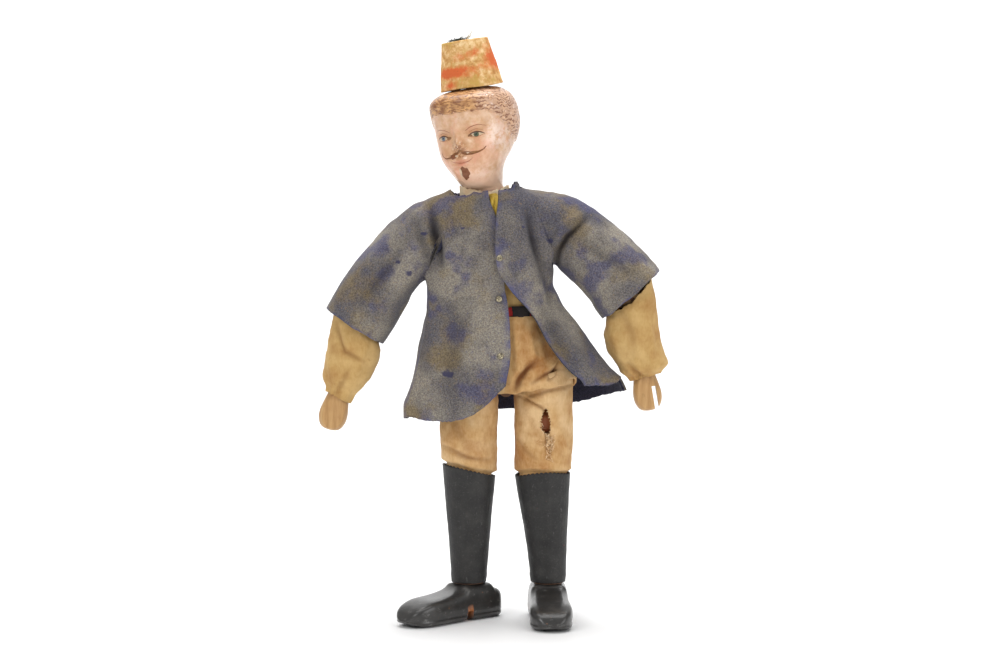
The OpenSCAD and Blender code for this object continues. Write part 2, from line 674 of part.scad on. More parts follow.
// The coat's level rounds are a little squarer than ovals, by this power
coat_square = 2.5;
function powered(value, power) = sign(value) * pow(abs(value), power);
// A point of the coat: turn 0 is the doll's left side, 90 its back, 180 its right side and 270 its front
function coat_point(turn, z, inset) =
    let (h = (z - coat_hem) / coat_height,
         w = coat_half_w * lookup(h, cos(turn) < 0 ? coat_right_shares : coat_left_shares),
         d = coat_depth * lookup(h, sin(turn) < 0 ? coat_front_shares : coat_back_shares))
    [coat_axis_x(z) + (w - inset) * powered(cos(turn), 2 / coat_square),
     body_y + (d - inset) * powered(sin(turn), 2 / coat_square), z];
// The turn at which a front panel ends, where its edge lies at a given place across
function edge_turn(z, edge_shares) =
    let (h = (z - coat_hem) / coat_height,
         x = coat_half_w * lookup(h, edge_shares),
         w = coat_half_w * lookup(h, x < 0 ? coat_right_shares : coat_left_shares))
    360 - acos(powered(x / w, coat_square / 2));

// Half of a seam's gap, as a turn
seam_turn = asin(cloth_gap / coat_half_w);
module coat_back() color([0.4, 0.41, 0.46]) difference() {
    // Shares of the coat's height by which the back hem rises to each side
    hem = function(turn) coat_hem + 0.12 * coat_height * pow(cos(turn / 2), 8);
    fold = function(turn, share) 0.05 * coat_depth * (1 - share) * cos(6 * turn);
    skin_at = function(inset) function(turn, share)
        coat_point(turn, mix(hem(turn), coat_top, share), inset - fold(turn, share));
    cloth(skin_at(0), skin_at(felt_t), seam_turn, 180 - seam_turn, 20, 9);
    sleeve_room();
}
module coat_front_right() color([0.4, 0.41, 0.46]) difference() {
    // The hem rises a little at the front edge, where its corner is cut round
    hem = function(share) coat_hem + coat_height * (0.02 * pow(1 - share, 2) + 0.16 * pow(share, 6));
    fold = function(turn, share) 0.04 * coat_depth * (1 - share) * cos(5 * turn);
    skin_at = function(inset) function(turn, share)
        let (z = mix(hem(turn), coat_top, share),
             around = mix(180 + seam_turn, edge_turn(z, coat_right_edge_shares), turn))
        coat_point(around, z, inset - fold(around, share));
    cloth(skin_at(0), skin_at(felt_t), 0, 1, 12, 9);
    sleeve_room();
}
module coat_front_left() color([0.4, 0.41, 0.46]) difference() {
    hem = function(share) coat_hem + coat_height * (0.16 + 0.02 * share);
    lap = function(turn) panel_lap * pow(1 - turn, 0.5);
    skin_at = function(inset) function(turn, share)
        let (z = mix(hem(turn), coat_top, share),
             around = mix(edge_turn(z, coat_left_edge_shares), 360 - seam_turn, turn))
        coat_point(around, z, inset - lap(turn));
    cloth(skin_at(0), skin_at(felt_t), 0, 1, 12, 9);
    sleeve_room();
}
// How far a sleeve reaches beyond its arm's axis on the outer side and on the under side.
// Each row holds a share of the sleeve's length from the shoulder, and two shares of its cuff's radius.
sleeve_right_shares = [
    [-0.34, 0.32, 0.24], [-0.28, 0.46, 0.36], [-0.17, 0.7, 0.62], [-0.05, 0.89, 0.72], [0.04, 0.96, 0.71],
    [0.19, 1.06, 0.68], [0.31, 1.08, 0.66], [0.5, 1.06, 0.66], [0.61, 1.05, 0.73], [0.71, 1.03, 0.81],
    [0.82, 0.99, 0.88], [1, 0.9, 0.95]
];
sleeve_left_shares = [
    [-0.34, 0.14, 0.1], [-0.28, 0.28, 0.3], [-0.2, 0.47, 0.56], [-0.11, 0.69, 0.69], [0, 0.88, 0.73],
    [0.105, 1.02, 0.74], [0.29, 1.13, 0.74], [0.45, 1.16, 0.75], [0.6, 1.17, 0.77], [0.76, 1.17, 0.8],
    [0.88, 1.16, 0.88], [1, 1.12, 0.95]
];
function sleeve_depth_share(along) = lookup(along, [[-0.34, 0.5], [-0.17, 0.78], [0, 0.88], [0.3, 0.92], [1, 0.96]]);
function sleeve_reach(s, along, side) = sleeve_cuff_r
    * lookup(along, [for (p = pick(s, sleeve_right_shares, sleeve_left_shares)) [p[0], p[side]]]);
// A point of a sleeve in its arm's own frame, at a turn and at a share of its length from the shoulder
function sleeve_point(s, turn, along, inset) =
    let (outer = sleeve_reach(s, along, 1), under = sleeve_reach(s, along, 2),
         half = (outer + under) / 2, middle = s * (outer - under) / 2)
    [middle + (half - inset) * cos(turn),
     (sleeve_depth_share(along) * sleeve_cuff_r - inset) * sin(turn),
     -along * pick(s, 1, 0.92) * sleeve_len * (0.965 + 0.035 * s * cos(turn))];
function sleeve_along(share) = share < 0.4 ? mix(1, 0.3, share / 0.4) : mix(0.3, -0.34, (share - 0.4) / 0.6);
module coat_sleeve(s) color([0.4, 0.41, 0.46]) difference() {
    skin_at = function(inset) function(turn, share) sleeve_point(s, turn, sleeve_along(share), inset);
    at_upper_arm(s) cloth(skin_at(0), skin_at(felt_t), 0, 360, 24, 10);
    // The sleeve stops at the armhole seam
    at_torso() translate([-armhole_out, -2 * coat_half_w, 0])
        cube([2 * armhole_out, 4 * coat_half_w, 2 * torso_len]);
}
// The room that the two sleeves take out of the coat's body, outside the armhole seams
module sleeve_room() difference() {
    for (s = [RIGHT, LEFT]) at_upper_arm(s) filled(
        function(turn, share) sleeve_point(s, turn, sleeve_along(share), -cloth_gap), 24, 10);
    at_torso() translate([cloth_gap - armhole_out, -2 * coat_half_w, 0])
        cube([2 * (armhole_out - cloth_gap), 4 * coat_half_w, 2 * torso_len]);
}
// Heights of the three studs, as shares of the coat's height above the hem
stud_shares = [0.71, 0.534, 0.29];
stud_side = 0.1;
stud_step = -0.07;
module coat_studs() color("silver") for (i = [0 : 2]) {
    z = coat_hem + coat_height * stud_shares[i];
    x = coat_half_w * (stud_side + stud_step * i);
    w = coat_half_w * lookup(stud_shares[i], x < 0 ? coat_right_shares : coat_left_shares);
    on_left = i == 0;
    base = coat_point(360 - acos(powered(x / w, coat_square / 2)), z, on_left ? -panel_lap : 0);
    translate([base[0], base[1] - cloth_gap, z]) rotate([90, 0, 0]) intersection() {
        cylinder(r = stud_d / 2, h = stud_h);
        translate([0, 0, stud_h - stud_d]) sphere(r = stud_d);
    }
}

// Trousers
module trouser_seat() color([0.72, 0.56, 0.38]) difference() {
    low = hip_height - 0.2 * seat_depth;
    // Shares of the seat's height, and of its depth, to each side and to the front
    width_shares = [[0, 1.67], [0.3, 1.63], [0.6, 1.39], [1, 1.073]];
    depth_shares = [[0, 1], [0.5, 1], [1, 0.96]];
    skin_at = function(inset) function(turn, share)
        let (z = mix(low, waist_height, share))
        [coat_axis_x(z) + (chest_d / 2 * lookup(share, width_shares) - inset) * cos(turn),
         body_y + (seat_depth * lookup(share, depth_shares) - inset) * sin(turn), z];
    cloth(skin_at(0), skin_at(cotton_t), 0, 360, 28, 6);
    for (s = [RIGHT, LEFT]) at_hip(s) {
        sphere(r = leg_top_r + cloth_gap);
        translate([0, 0, -seat_depth]) cylinder(r = leg_top_r + cloth_gap, h = seat_depth);
    }
}
module trouser_leg(s) color([0.76, 0.6, 0.41]) at_hip(s) {
    tuck = -thigh_len + 0.6 * cloth_gap;
    gather = leg_top_r / 2;
    // Heights of the rows from the gathered end up to the slanting top
    row_shares = [0, 0.13, 0.15, 0.3, 0.55, 0.8, 1];
    top = function(turn) 0.3 * leg_top_r + 0.3 * leg_top_r * s * cos(turn) - 0.1 * leg_top_r;
    height = function(turn, share) mix(tuck - gather, top(turn), lookup(share, [
        for (i = [0 : len(row_shares) - 1]) [i / (len(row_shares) - 1), row_shares[i]]]));
    ridge = function(turn, share) 0.02 * leg_top_r * cos(5 * turn) * sin(180 * share);
    radius = function(turn, share)
        let (h = height(turn, share))
        h < tuck ? leg_gather_r
        : h < 0 ? mix(leg_knee_r, leg_top_r, (h - tuck) / -tuck) - 0.02 * leg_top_r + ridge(turn, share)
        : sqrt(pow(leg_top_r, 2) - h * h) - 0.02 * leg_top_r;
    cloth_tube(radius, height, cotton_t, 24, 6);
}

// Belt, with a dark tab wrapped round it in front
module belt_ring(z, r_in, r_out, h) translate([coat_axis_x(z), body_y, z]) rotate([0, 0, 90])
    linear_extrude(height = h, center = true) difference() {
        belt_outline(r_out);
        belt_outline(r_in);
    }
module belt_outline(r) intersection() {
    circle(r = 1.24 * r);
    square([2 * r, 3 * r], center = true);
}
belt_height = waist_height + cloth_gap + belt_w / 2;
belt_in = torso_thick / 2 + cloth_gap;
module belt_red() color("firebrick") difference() {
    belt_ring(belt_height, belt_in, belt_in + belt_t, belt_w);
    belt_tab_room(cloth_gap);
}
module belt_tab_black() color([0.13, 0.12, 0.12]) intersection() {
    belt_ring(belt_height, belt_in, belt_in + 1.2 * belt_t, belt_w);
    belt_tab_room(0);
}
module belt_tab_room(play) {
    tab_w = 2 * belt_w;
    translate([coat_axis_x(belt_height) + 2 * belt_w + cloth_gap - play, body_y - 2 * belt_in, belt_height - belt_w])
        cube([tab_w + 2 * play, 2 * belt_in, 2 * belt_w]);
}

// Shirt, drawn tight round the body from the belt up to the armpits
module shirt_body() color([0.78, 0.64, 0.42]) difference() {
    torso_shape(cloth_gap + cotton_t);
    torso_shape(cloth_gap);
    translate([pelvis_x - chest_d, body_y - chest_d, 0])
        cube([2 * chest_d, 2 * chest_d, belt_height + belt_w / 2 + cloth_gap]);
    at_torso() translate([-chest_d, -chest_d, 0.7 * torso_len]) cube([2 * chest_d, 2 * chest_d, torso_len]);
}

// Neck. The ribbon lies on the shoulders round the neck, and the collar stands on it.
ribbon_t = 0.6 * cotton_t;
ribbon_z = torso_len + cloth_gap;
collar_z = ribbon_z + ribbon_t + cloth_gap;
module shirt_collar() color([0.85, 0.77, 0.62]) at_torso() translate([0, 0, collar_z]) difference() {
    cylinder(r1 = collar_r + 0.5 * cotton_t, r2 = collar_r + 0.5 * cotton_t, h = collar_h);
    translate([0, 0, -cut]) cylinder(r = collar_r - 0.5 * cotton_t, h = collar_h + 2 * cut);
    // The collar dips below the chin
    translate([0, -collar_r, collar_h + 0.3 * collar_r]) rotate([0, 90, 0])
        cylinder(r = 0.55 * collar_r, h = 3 * collar_r, center = true);
}
module neck_ribbon() color([0.85, 0.68, 0.16]) at_torso() {
    translate([0, 0, ribbon_z]) difference() {
        cylinder(r = collar_r + cotton_t, h = ribbon_t);
        translate([0, 0, -cut]) cylinder(r = collar_r - cotton_t, h = ribbon_t + 2 * cut);
    }
    // The end that hangs over the chest, seen in the coat's open neck
    chest_y = -torso_thick / 2 - cloth_gap;
    edge_y = -0.6 * chest_d / 2;
    translate([ribbon_w / 2 + cloth_gap, 0, 0]) rotate([90, 0, 90]) linear_extrude(height = ribbon_w)
        polygon([
            [-collar_r + cotton_t, ribbon_z], [edge_y, ribbon_z], [chest_y, 0.965 * torso_len],
            [chest_y, 0.92 * torso_len], [chest_y - ribbon_t, 0.92 * torso_len],
            [chest_y - ribbon_t, 0.972 * torso_len], [edge_y - ribbon_t / 2, ribbon_z + ribbon_t],
            [-collar_r + cotton_t, ribbon_z + ribbon_t]
        ]);
}

// False sleeves round the forearms
// Shares of its length down from the elbow, of its radius near the elbow, and of that radius towards
// the body by which its middle lies off the arm's axis
false_sleeve_right_shares = [
    [-0.28, 0.9, 0], [0, 0.92, 0], [0.155, 0.94, 0.02], [0.31, 1.01, 0.12], [0.465, 1, 0.14],
    [0.62, 0.95, 0.12], [0.78, 0.8, 0.06], [0.93, 0.57, 0.05], [1.04, cuff_wrist_r / cuff_top_r, 0]
];
false_sleeve_left_shares = [
    [-0.28, 0.9, 0], [0, 0.94, 0.03], [0.28, 1, 0.12], [0.41, 1.05, 0.2], [0.575, 1.035, 0.19],
    [0.725, 0.965, 0.13], [0.875, 0.9, 0.05], [0.965, 0.63, 0.03], [1.04, cuff_wrist_r / cuff_top_r, 0]
];
module false_sleeve(s) color([0.78, 0.62, 0.38]) at_forearm(s) {
    top = function(turn) cuff_len * (pick(s, -0.04, -0.03) + pick(s, 0.05, 0.26) * s * cos(turn));
    low = function(turn) -cuff_len + pick(s, -0.04, 0.02) * cuff_len * cos(turn);
    part = function(down, side) cuff_top_r * lookup(down, [
        for (p = pick(s, false_sleeve_right_shares, false_sleeve_left_shares)) [p[0], p[side]]]);
    skin_at = function(inset) function(turn, share)
        let (z = mix(low(turn), top(turn), share), down = -z / cuff_len, r = part(down, 1) - inset)
        [r * cos(turn) - s * part(down, 2), r * sin(turn), z];
    cloth(skin_at(0), skin_at(cotton_t), 0, 360, 24, 8);
}

// Boot shafts
module boot_shaft(s) color([0.14, 0.15, 0.16]) at_shin(s) {
    floor_z = -shin_len() + cloth_gap + tan(shin_out(s)) * boot_ankle_r;
    knee_to_top = boot_top - (hip_height - thigh_len);
    edge = function(turn) knee_to_top + (s < 0
        ? -right_boot_slant * cos(turn) - 0.4 * right_boot_slant * sin(turn)
        : left_boot_rise * (cos(2 * turn + 180) - 1) / 2);
    height = function(turn, share) mix(floor_z, edge(turn), share);
    radius = function(turn, share) mix(boot_ankle_r, boot_top_r, pow(share, 1.15));
    cloth_tube(radius, height, oilcloth_t, 28, 5);
}

torso_block();
shoulder_cord();
hip_cord();
trouser_seat();
belt_red();
belt_tab_black();
shirt_body();
shirt_collar();
neck_ribbon();
coat_back();
coat_front_right();
coat_front_left();
coat_studs();
neck_cord();
head();
neck_pin();
fez();
fez_cover();
fez_tuft();
fez_peg();
shoulder_cord_end(RIGHT);  // shoulder_cord_end_right
upper_arm(RIGHT);  // upper_arm_right
arm_pins(RIGHT);  // arm_pins_right
coat_sleeve(RIGHT);  // coat_sleeve_right
elbow_cord(RIGHT);  // elbow_cord_right
forearm(RIGHT);  // forearm_right
false_sleeve(RIGHT);  // false_sleeve_right
shoulder_cord_end(LEFT);  // shoulder_cord_end_left
upper_arm(LEFT);  // upper_arm_left
arm_pins(LEFT);  // arm_pins_left
coat_sleeve(LEFT);  // coat_sleeve_left
elbow_cord(LEFT);  // elbow_cord_left
forearm(LEFT);  // forearm_left
false_sleeve(LEFT);  // false_sleeve_left
hip_cord_end(RIGHT);  // hip_cord_end_right
thigh(RIGHT);  // thigh_right
leg_pins(RIGHT);  // leg_pins_right
trouser_leg(RIGHT);  // trouser_leg_right
knee_cord(RIGHT);  // knee_cord_right
shin(RIGHT);  // shin_right
foot(RIGHT);  // foot_right
boot_shaft(RIGHT);  // boot_shaft_right
hip_cord_end(LEFT);  // hip_cord_end_left
thigh(LEFT);  // thigh_left
leg_pins(LEFT);  // leg_pins_left
trouser_leg(LEFT);  // trouser_leg_left
knee_cord(LEFT);  // knee_cord_left
shin(LEFT);  // shin_left
foot(LEFT);  // foot_left
boot_shaft(LEFT);  // boot_shaft_left
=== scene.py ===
# %% [markdown]
# # A jointed wooden doll in cloth clothes
# The real toy is a small doll of turned wood, strung with elastic cord. It wears a felt coat, cotton
# trousers, two false shirt sleeves, tall oilcloth boots and a little fez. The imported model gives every
# wooden piece and its joints. This script dresses that frame: each cloth or painted piece is a surface
# worked out with numpy, in the same place as the solid that it stands for.

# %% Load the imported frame
import math

import bpy
import numpy as np
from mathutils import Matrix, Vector


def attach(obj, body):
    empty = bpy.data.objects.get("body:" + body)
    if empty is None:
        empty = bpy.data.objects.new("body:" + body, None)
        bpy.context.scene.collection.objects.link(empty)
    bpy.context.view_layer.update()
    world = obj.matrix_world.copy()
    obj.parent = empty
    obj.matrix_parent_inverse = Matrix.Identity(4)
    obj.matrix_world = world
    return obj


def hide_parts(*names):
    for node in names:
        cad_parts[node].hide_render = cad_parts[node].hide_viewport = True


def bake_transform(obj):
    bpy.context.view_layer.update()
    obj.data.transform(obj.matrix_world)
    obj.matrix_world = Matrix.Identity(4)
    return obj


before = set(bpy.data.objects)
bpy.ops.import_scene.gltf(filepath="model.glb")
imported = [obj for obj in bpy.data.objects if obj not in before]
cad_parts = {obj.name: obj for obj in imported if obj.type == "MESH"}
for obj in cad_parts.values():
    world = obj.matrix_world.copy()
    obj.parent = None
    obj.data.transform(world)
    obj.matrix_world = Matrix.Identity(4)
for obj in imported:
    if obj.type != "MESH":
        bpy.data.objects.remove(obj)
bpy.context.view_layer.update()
MM = 0.001

# %% [markdown]
# ## The stance
# The part's source places each limb by a few lengths and angles. The same numbers are repeated here, so
# that a sleeve or a boot can be worked out in its own limb's frame and then turned into the doll's frame.
# A frame is a turn (a 3 by 3 matrix) and a place in millimetres.

# %% Frames of the body and its limbs
hip_height, hip_spacing, pelvis_x, body_y = 88.0, 27.1, 4.85, 5.5
torso_lean, head_turn, head_lean = 6.0, 27.0, 2.8
shoulder_height, shoulder_spacing, neck_height = 56.0, 41.8, 67.5
upper_arm_len, thigh_len, foot_h = 42.0, 30.0, 13.0
RIGHT, LEFT = -1, 1
SIDE = {RIGHT: "right", LEFT: "left"}
arm_out = {RIGHT: 40.0, LEFT: 47.0}
forearm_out = {RIGHT: 15.0, LEFT: 9.5}
shin_out = {RIGHT: 0.0, LEFT: 2.4}
foot_out = {RIGHT: 48.0, LEFT: 2.0}


def about_y(degrees):
    """The turn about Y, as a matrix that takes a column of x, y and z."""
    a = math.radians(degrees)
    return np.array([[math.cos(a), 0, math.sin(a)], [0, 1, 0], [-math.sin(a), 0, math.cos(a)]])


def about_z(degrees):
    """The turn about Z."""
    a = math.radians(degrees)
    return np.array([[math.cos(a), -math.sin(a), 0], [math.sin(a), math.cos(a), 0], [0, 0, 1]])


def to_world(place, points):
    """Turns points of a frame into the doll's frame: turn times point, plus the frame's place."""
    turn, origin = place
    return points @ turn.T + origin


def to_local(place, points):
    """The other way: the point less the frame's place, turned back."""
    turn, origin = place
    return (points - origin) @ turn


shin_len = hip_height - thigh_len - foot_h
torso = (about_y(-torso_lean), np.array([pelvis_x, body_y, hip_height]))
neck_turn = torso[0] @ about_y(-head_lean) @ about_z(-head_turn)
head = (neck_turn, to_world(torso, np.array([0, 0, neck_height])))
upper_arm, forearm, shin, foot, knee_at, hip_at, elbow_at = {}, {}, {}, {}, {}, {}, {}
for s in (RIGHT, LEFT):
    shoulder = to_world(torso, np.array([s * shoulder_spacing / 2, 0, shoulder_height]))
    upper_arm[s] = (about_y(-s * arm_out[s]), shoulder)
    elbow_at[s] = to_world(upper_arm[s], np.array([0, 0, -upper_arm_len]))
    forearm[s] = (about_y(-s * forearm_out[s]), elbow_at[s])
    hip_at[s] = np.array([pelvis_x + s * hip_spacing / 2, body_y, hip_height])
    knee_at[s] = hip_at[s] - [0, 0, thigh_len]
    shin[s] = (about_y(-s * shin_out[s]), knee_at[s])
    ankle_x = hip_at[s][0] + shin_len * math.tan(math.radians(shin_out[s]))
    foot[s] = (about_z(s * foot_out[s]), np.array([ankle_x, body_y, 0.0]))
    print(SIDE[s], "elbow and knee at", elbow_at[s].round(1), knee_at[s].round(1), "mm")

# %% [markdown]
# ## Drawing tools
# A table gives a value at a few places. A smooth curve through it, which never overshoots,
# gives the value everywhere else. Steps between 0 and 1 are eased, so that no shape starts with a kink.

# %% Curves


def smooth(table, at):
    """A monotone cubic through the rows of a table: slopes are harmonic means of the neighbouring steps."""
    x, y = np.asarray(table, float).T
    h, d = np.diff(x), np.diff(y) / np.diff(x)
    same = d[:-1] * d[1:] > 0
    w1, w2 = 2 * h[1:] + h[:-1], h[1:] + 2 * h[:-1]
    with np.errstate(divide="ignore", invalid="ignore"):
        inner = np.where(same, (w1 + w2) / (w1 / d[:-1] + w2 / d[1:]), 0.0)
    slope = np.concatenate([[d[0]], inner, [d[-1]]])
    at = np.clip(at, x[0], x[-1])
    i = np.clip(np.searchsorted(x, at, side="right") - 1, 0, len(h) - 1)
    t = (at - x[i]) / h[i]
    a = (1 + 2 * t) * (1 - t) ** 2 * y[i] + t * (1 - t) ** 2 * h[i] * slope[i]
    return a + t * t * (3 - 2 * t) * y[i + 1] + t * t * (t - 1) * h[i] * slope[i + 1]


def powered(value, power):
    """The value's size to a power, with its sign kept."""
    return np.sign(value) * np.abs(value) ** power


def ease(value, low, high):
    """0 below low, 1 above high, and a smooth step between them."""
    t = np.clip((value - low) / (high - low), 0, 1)
    return t * t * (3 - 2 * t)


print("a quarter of the way through a smooth step:", ease(0.25, 0, 1))

# %% [markdown]
# ### Grids, meshes and unevenness
# A grid of points becomes a mesh of four-sided faces, and thin cloth gets its thickness from a Solidify
# modifier. Real cloth is never even, so a few crossed sines roughen each skin.

# %% Grids and meshes


def grid(turns, shares):
    """Two arrays, rows by columns, of every pair of a turn and a share."""
    return np.meshgrid(turns, shares)


def quads(rows, columns, loop, keep=None):
    """Faces of a grid of points: each takes a point, the next along, and the two above them."""
    wide = columns if loop else columns - 1
    k, i = np.mgrid[0 : rows - 1, 0:wide]
    j = (i + 1) % columns
    faces = np.stack([k * columns + i, k * columns + j, (k + 1) * columns + j, (k + 1) * columns + i], -1)
    return faces[keep] if keep is not None else faces.reshape(-1, 4)


def make_mesh(name, points, faces, material, body, replaced=(), values=None):
    """Puts points in millimetres and a list of faces into a mesh object that rides on a body."""
    used = np.unique(faces)
    renumber = np.full(len(points), -1)
    renumber[used] = np.arange(len(used))
    faces = renumber[faces]
    mesh = bpy.data.meshes.new(name)
    mesh.vertices.add(len(used))
    mesh.vertices.foreach_set("co", (points[used] * MM).astype(np.float32).ravel())
    count, size = faces.shape
    mesh.loops.add(count * size)
    mesh.loops.foreach_set("vertex_index", faces.astype(np.int32).ravel())
    mesh.polygons.add(count)
    mesh.polygons.foreach_set("loop_start", np.arange(0, count * size, size, dtype=np.int32))
    mesh.polygons.foreach_set("use_smooth", np.ones(count, bool))
    mesh.update(calc_edges=True)
    mesh.validate()
    for key, data in (values or {}).items():
        layer = mesh.attributes.new(key, "FLOAT", "POINT")
        layer.data.foreach_set("value", np.asarray(data, float).ravel()[used].astype(np.float32))
    obj = bpy.data.objects.new(name, mesh)
    bpy.context.scene.collection.objects.link(obj)
    mesh.materials.append(material)
    if body:
        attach(obj, body)
    if replaced:
        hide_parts(*replaced)
    return obj


def thicken(obj, thickness):
    """Cloth grows inwards from its outer side."""
    solid = obj.modifiers.new("thickness", "SOLIDIFY")
    solid.thickness = thickness * MM
    solid.offset = -1
    solid.use_rim = True
    return obj


print("a grid of 3 rows and 4 columns has", len(quads(3, 4, False)), "faces")

# %% Kept points and unevenness


def keep_cut(points, faces, loop):
    """Finds which of a sheet's grid points its faces use, and repeats a round sheet's first column; nothing
    is kept.
    """
    used = np.zeros(points.shape[0] * points.shape[1], bool)
    used[faces] = True
    used = used.reshape(points.shape[:2])
    if loop:
        points, used = (np.concatenate([a, a[:, :1]], 1) for a in (points, used))


def wave_noise(points, scale, seed, octaves=3):
    """Smooth unevenness: four sines along chosen directions in each octave, the same every run."""
    rng = np.random.default_rng(seed)
    total = np.zeros(points.shape[:-1])
    for octave in range(octaves):
        for _ in range(4):
            direction = rng.normal(size=3)
            direction /= np.linalg.norm(direction)
            phase = rng.uniform(0, 2 * np.pi)
            rate = 2 * np.pi * 2**octave / scale
            total += np.sin(points @ direction * rate + phase) / (4 * 1.8**octave)
    return total


print("unevenness at the origin:", wave_noise(np.zeros((1, 3)), 10, 1))

# %% [markdown]
# ## Materials
# Each finish is a few procedural nodes. Noise on Object coordinates varies the colour, and a second
# pattern drives a Bump node. A small helper keeps the node code short: it adds a node, sets its inputs
# and returns its output.

# %% A short way to write material nodes


class Finish:
    """A material under construction, with helpers that add one node each."""

    def __init__(self, name, roughness, specular=0.5, sheen=0.0, coat=0.0):
        self.material = bpy.data.materials.new(name)
        self.material.use_nodes = True
        self.tree = self.material.node_tree
        self.shader = self.tree.nodes["Principled BSDF"]
        self.shader.inputs["Roughness"].default_value = roughness
        self.shader.inputs["Specular IOR Level"].default_value = specular
        self.shader.inputs["Sheen Weight"].default_value = sheen
        self.shader.inputs["Coat Weight"].default_value = coat
        self.shader.inputs["Coat Roughness"].default_value = 0.12
        self.coordinates = self.tree.nodes.new("ShaderNodeTexCoord").outputs["Object"]

    def put(self, socket, value):
        """Links an output to a socket, or sets a plain value."""
        if isinstance(value, bpy.types.NodeSocket):
            self.tree.links.new(value, socket)
        elif isinstance(value, tuple) and len(value) == 3 and socket.type == "RGBA":
            socket.default_value = (*value, 1)
        else:
            socket.default_value = value

    def node(self, kind, output=0, inputs=None, **settings):
        """Adds a node, sets what it is given and returns one of its outputs."""
        n = self.tree.nodes.new("ShaderNode" + kind)
        for key, value in settings.items():
            setattr(n, key, value)
        for key, value in (inputs or {}).items():
            self.put(n.inputs[key], value)
        return n.outputs[output]

    def noise(self, scale, detail=4, roughness=0.6, stretch=(1, 1, 1), turn=(0, 0, 0)):
        """Noise whose size is given as lumps per metre."""
        where = self.node("Mapping", inputs={0: self.coordinates, 2: turn, 3: stretch})
        inputs = {"Vector": where, "Scale": scale, "Detail": detail, "Roughness": roughness}
        return self.node("TexNoise", inputs=inputs)

    def ramp(self, factor, *stops):
        """A colour that follows a number, through stops of a place and a colour."""
        n = self.tree.nodes.new("ShaderNodeValToRGB")
        elements = n.color_ramp.elements
        for i, (position, color) in enumerate(stops):
            e = elements[i] if i < 2 else elements.new(position)
            e.position, e.color = position, (*color, 1)
        self.put(n.inputs[0], factor)
        return n.outputs[0]

    def step(self, value, low, high):
        """0 below low, 1 above high, and smooth between them."""
        return self.node("MapRange", inputs={0: value, 1: low, 2: high}, interpolation_type="SMOOTHSTEP")

    def mix(self, share, a, b, how="MIX"):
        """Colour a, covered by colour b as far as the share says."""
        n = self.tree.nodes.new("ShaderNodeMix")
        n.data_type, n.blend_type = "RGBA", how
        self.put(n.inputs[0], share)
        self.put(n.inputs[6], a)
        self.put(n.inputs[7], b)
        return n.outputs[2]

    def combine(self, how, a, b):
        """One step of arithmetic on two numbers or outputs."""
        return self.node("Math", inputs={0: a, 1: b}, operation=how)

    def plus(self, a, b):
        return self.combine("ADD", a, b)

    def minus(self, a, b):
        return self.combine("SUBTRACT", a, b)

    def times(self, a, b):
        return self.combine("MULTIPLY", a, b)

    def higher(self, a, b):
        return self.combine("MAXIMUM", a, b)

    def value(self, name):
        """A number that the mesh carries at each point."""
        return self.node("Attribute", 2, attribute_name=name)

    def bump(self, height, strength, distance):
        """Raises the surface in the shading; each new bump is laid over the one before it."""
        before = self.shader.inputs["Normal"].links
        inputs = {"Height": height, "Strength": strength, "Distance": distance}
        if before:
            inputs["Normal"] = before[0].from_socket
        self.put(self.shader.inputs["Normal"], self.node("Bump", inputs=inputs))

    def color(self, value):
        """Sets the base colour and returns the finished material."""
        self.put(self.shader.inputs["Base Color"], value)
        return self.material


def srgb(red, green, blue):
    """A colour from 0 to 255 as it is seen, as the linear light that a shader wants."""
    return tuple(float(((c / 255 + 0.055) / 1.055) ** 2.4) for c in (red, green, blue))


print("a middle grey in linear light:", srgb(128, 128, 128))

# %% [markdown]
# ### Felt, cotton and oilcloth
# The coat's felt was once blue-violet and has faded to a mottled grey and olive. The faded top layer is
# broken by small moth-eaten places where the old blue shows. The cotton is a plain tan weave with brown
# stains, with painted shade in its creases, and the oilcloth of the boots is nearly black with a soft shine.

# %% Weave and felt


def weave(f, pitch, strength, distance, angle=0.0):
    """Two crossing sets of threads: the higher of two sine waves, as a bump."""
    where = f.node("Mapping", inputs={0: f.coordinates, 2: (0, angle, 0)})
    parts = f.tree.nodes.new("ShaderNodeSeparateXYZ")
    f.put(parts.inputs[0], where)
    waves = []
    for axis in (0, 2):
        turned = f.times(parts.outputs[axis], 2 * math.pi / pitch)
        waves.append(f.node("Math", inputs={0: turned}, operation="SINE"))
    f.bump(f.higher(waves[0], waves[1]), strength, distance)


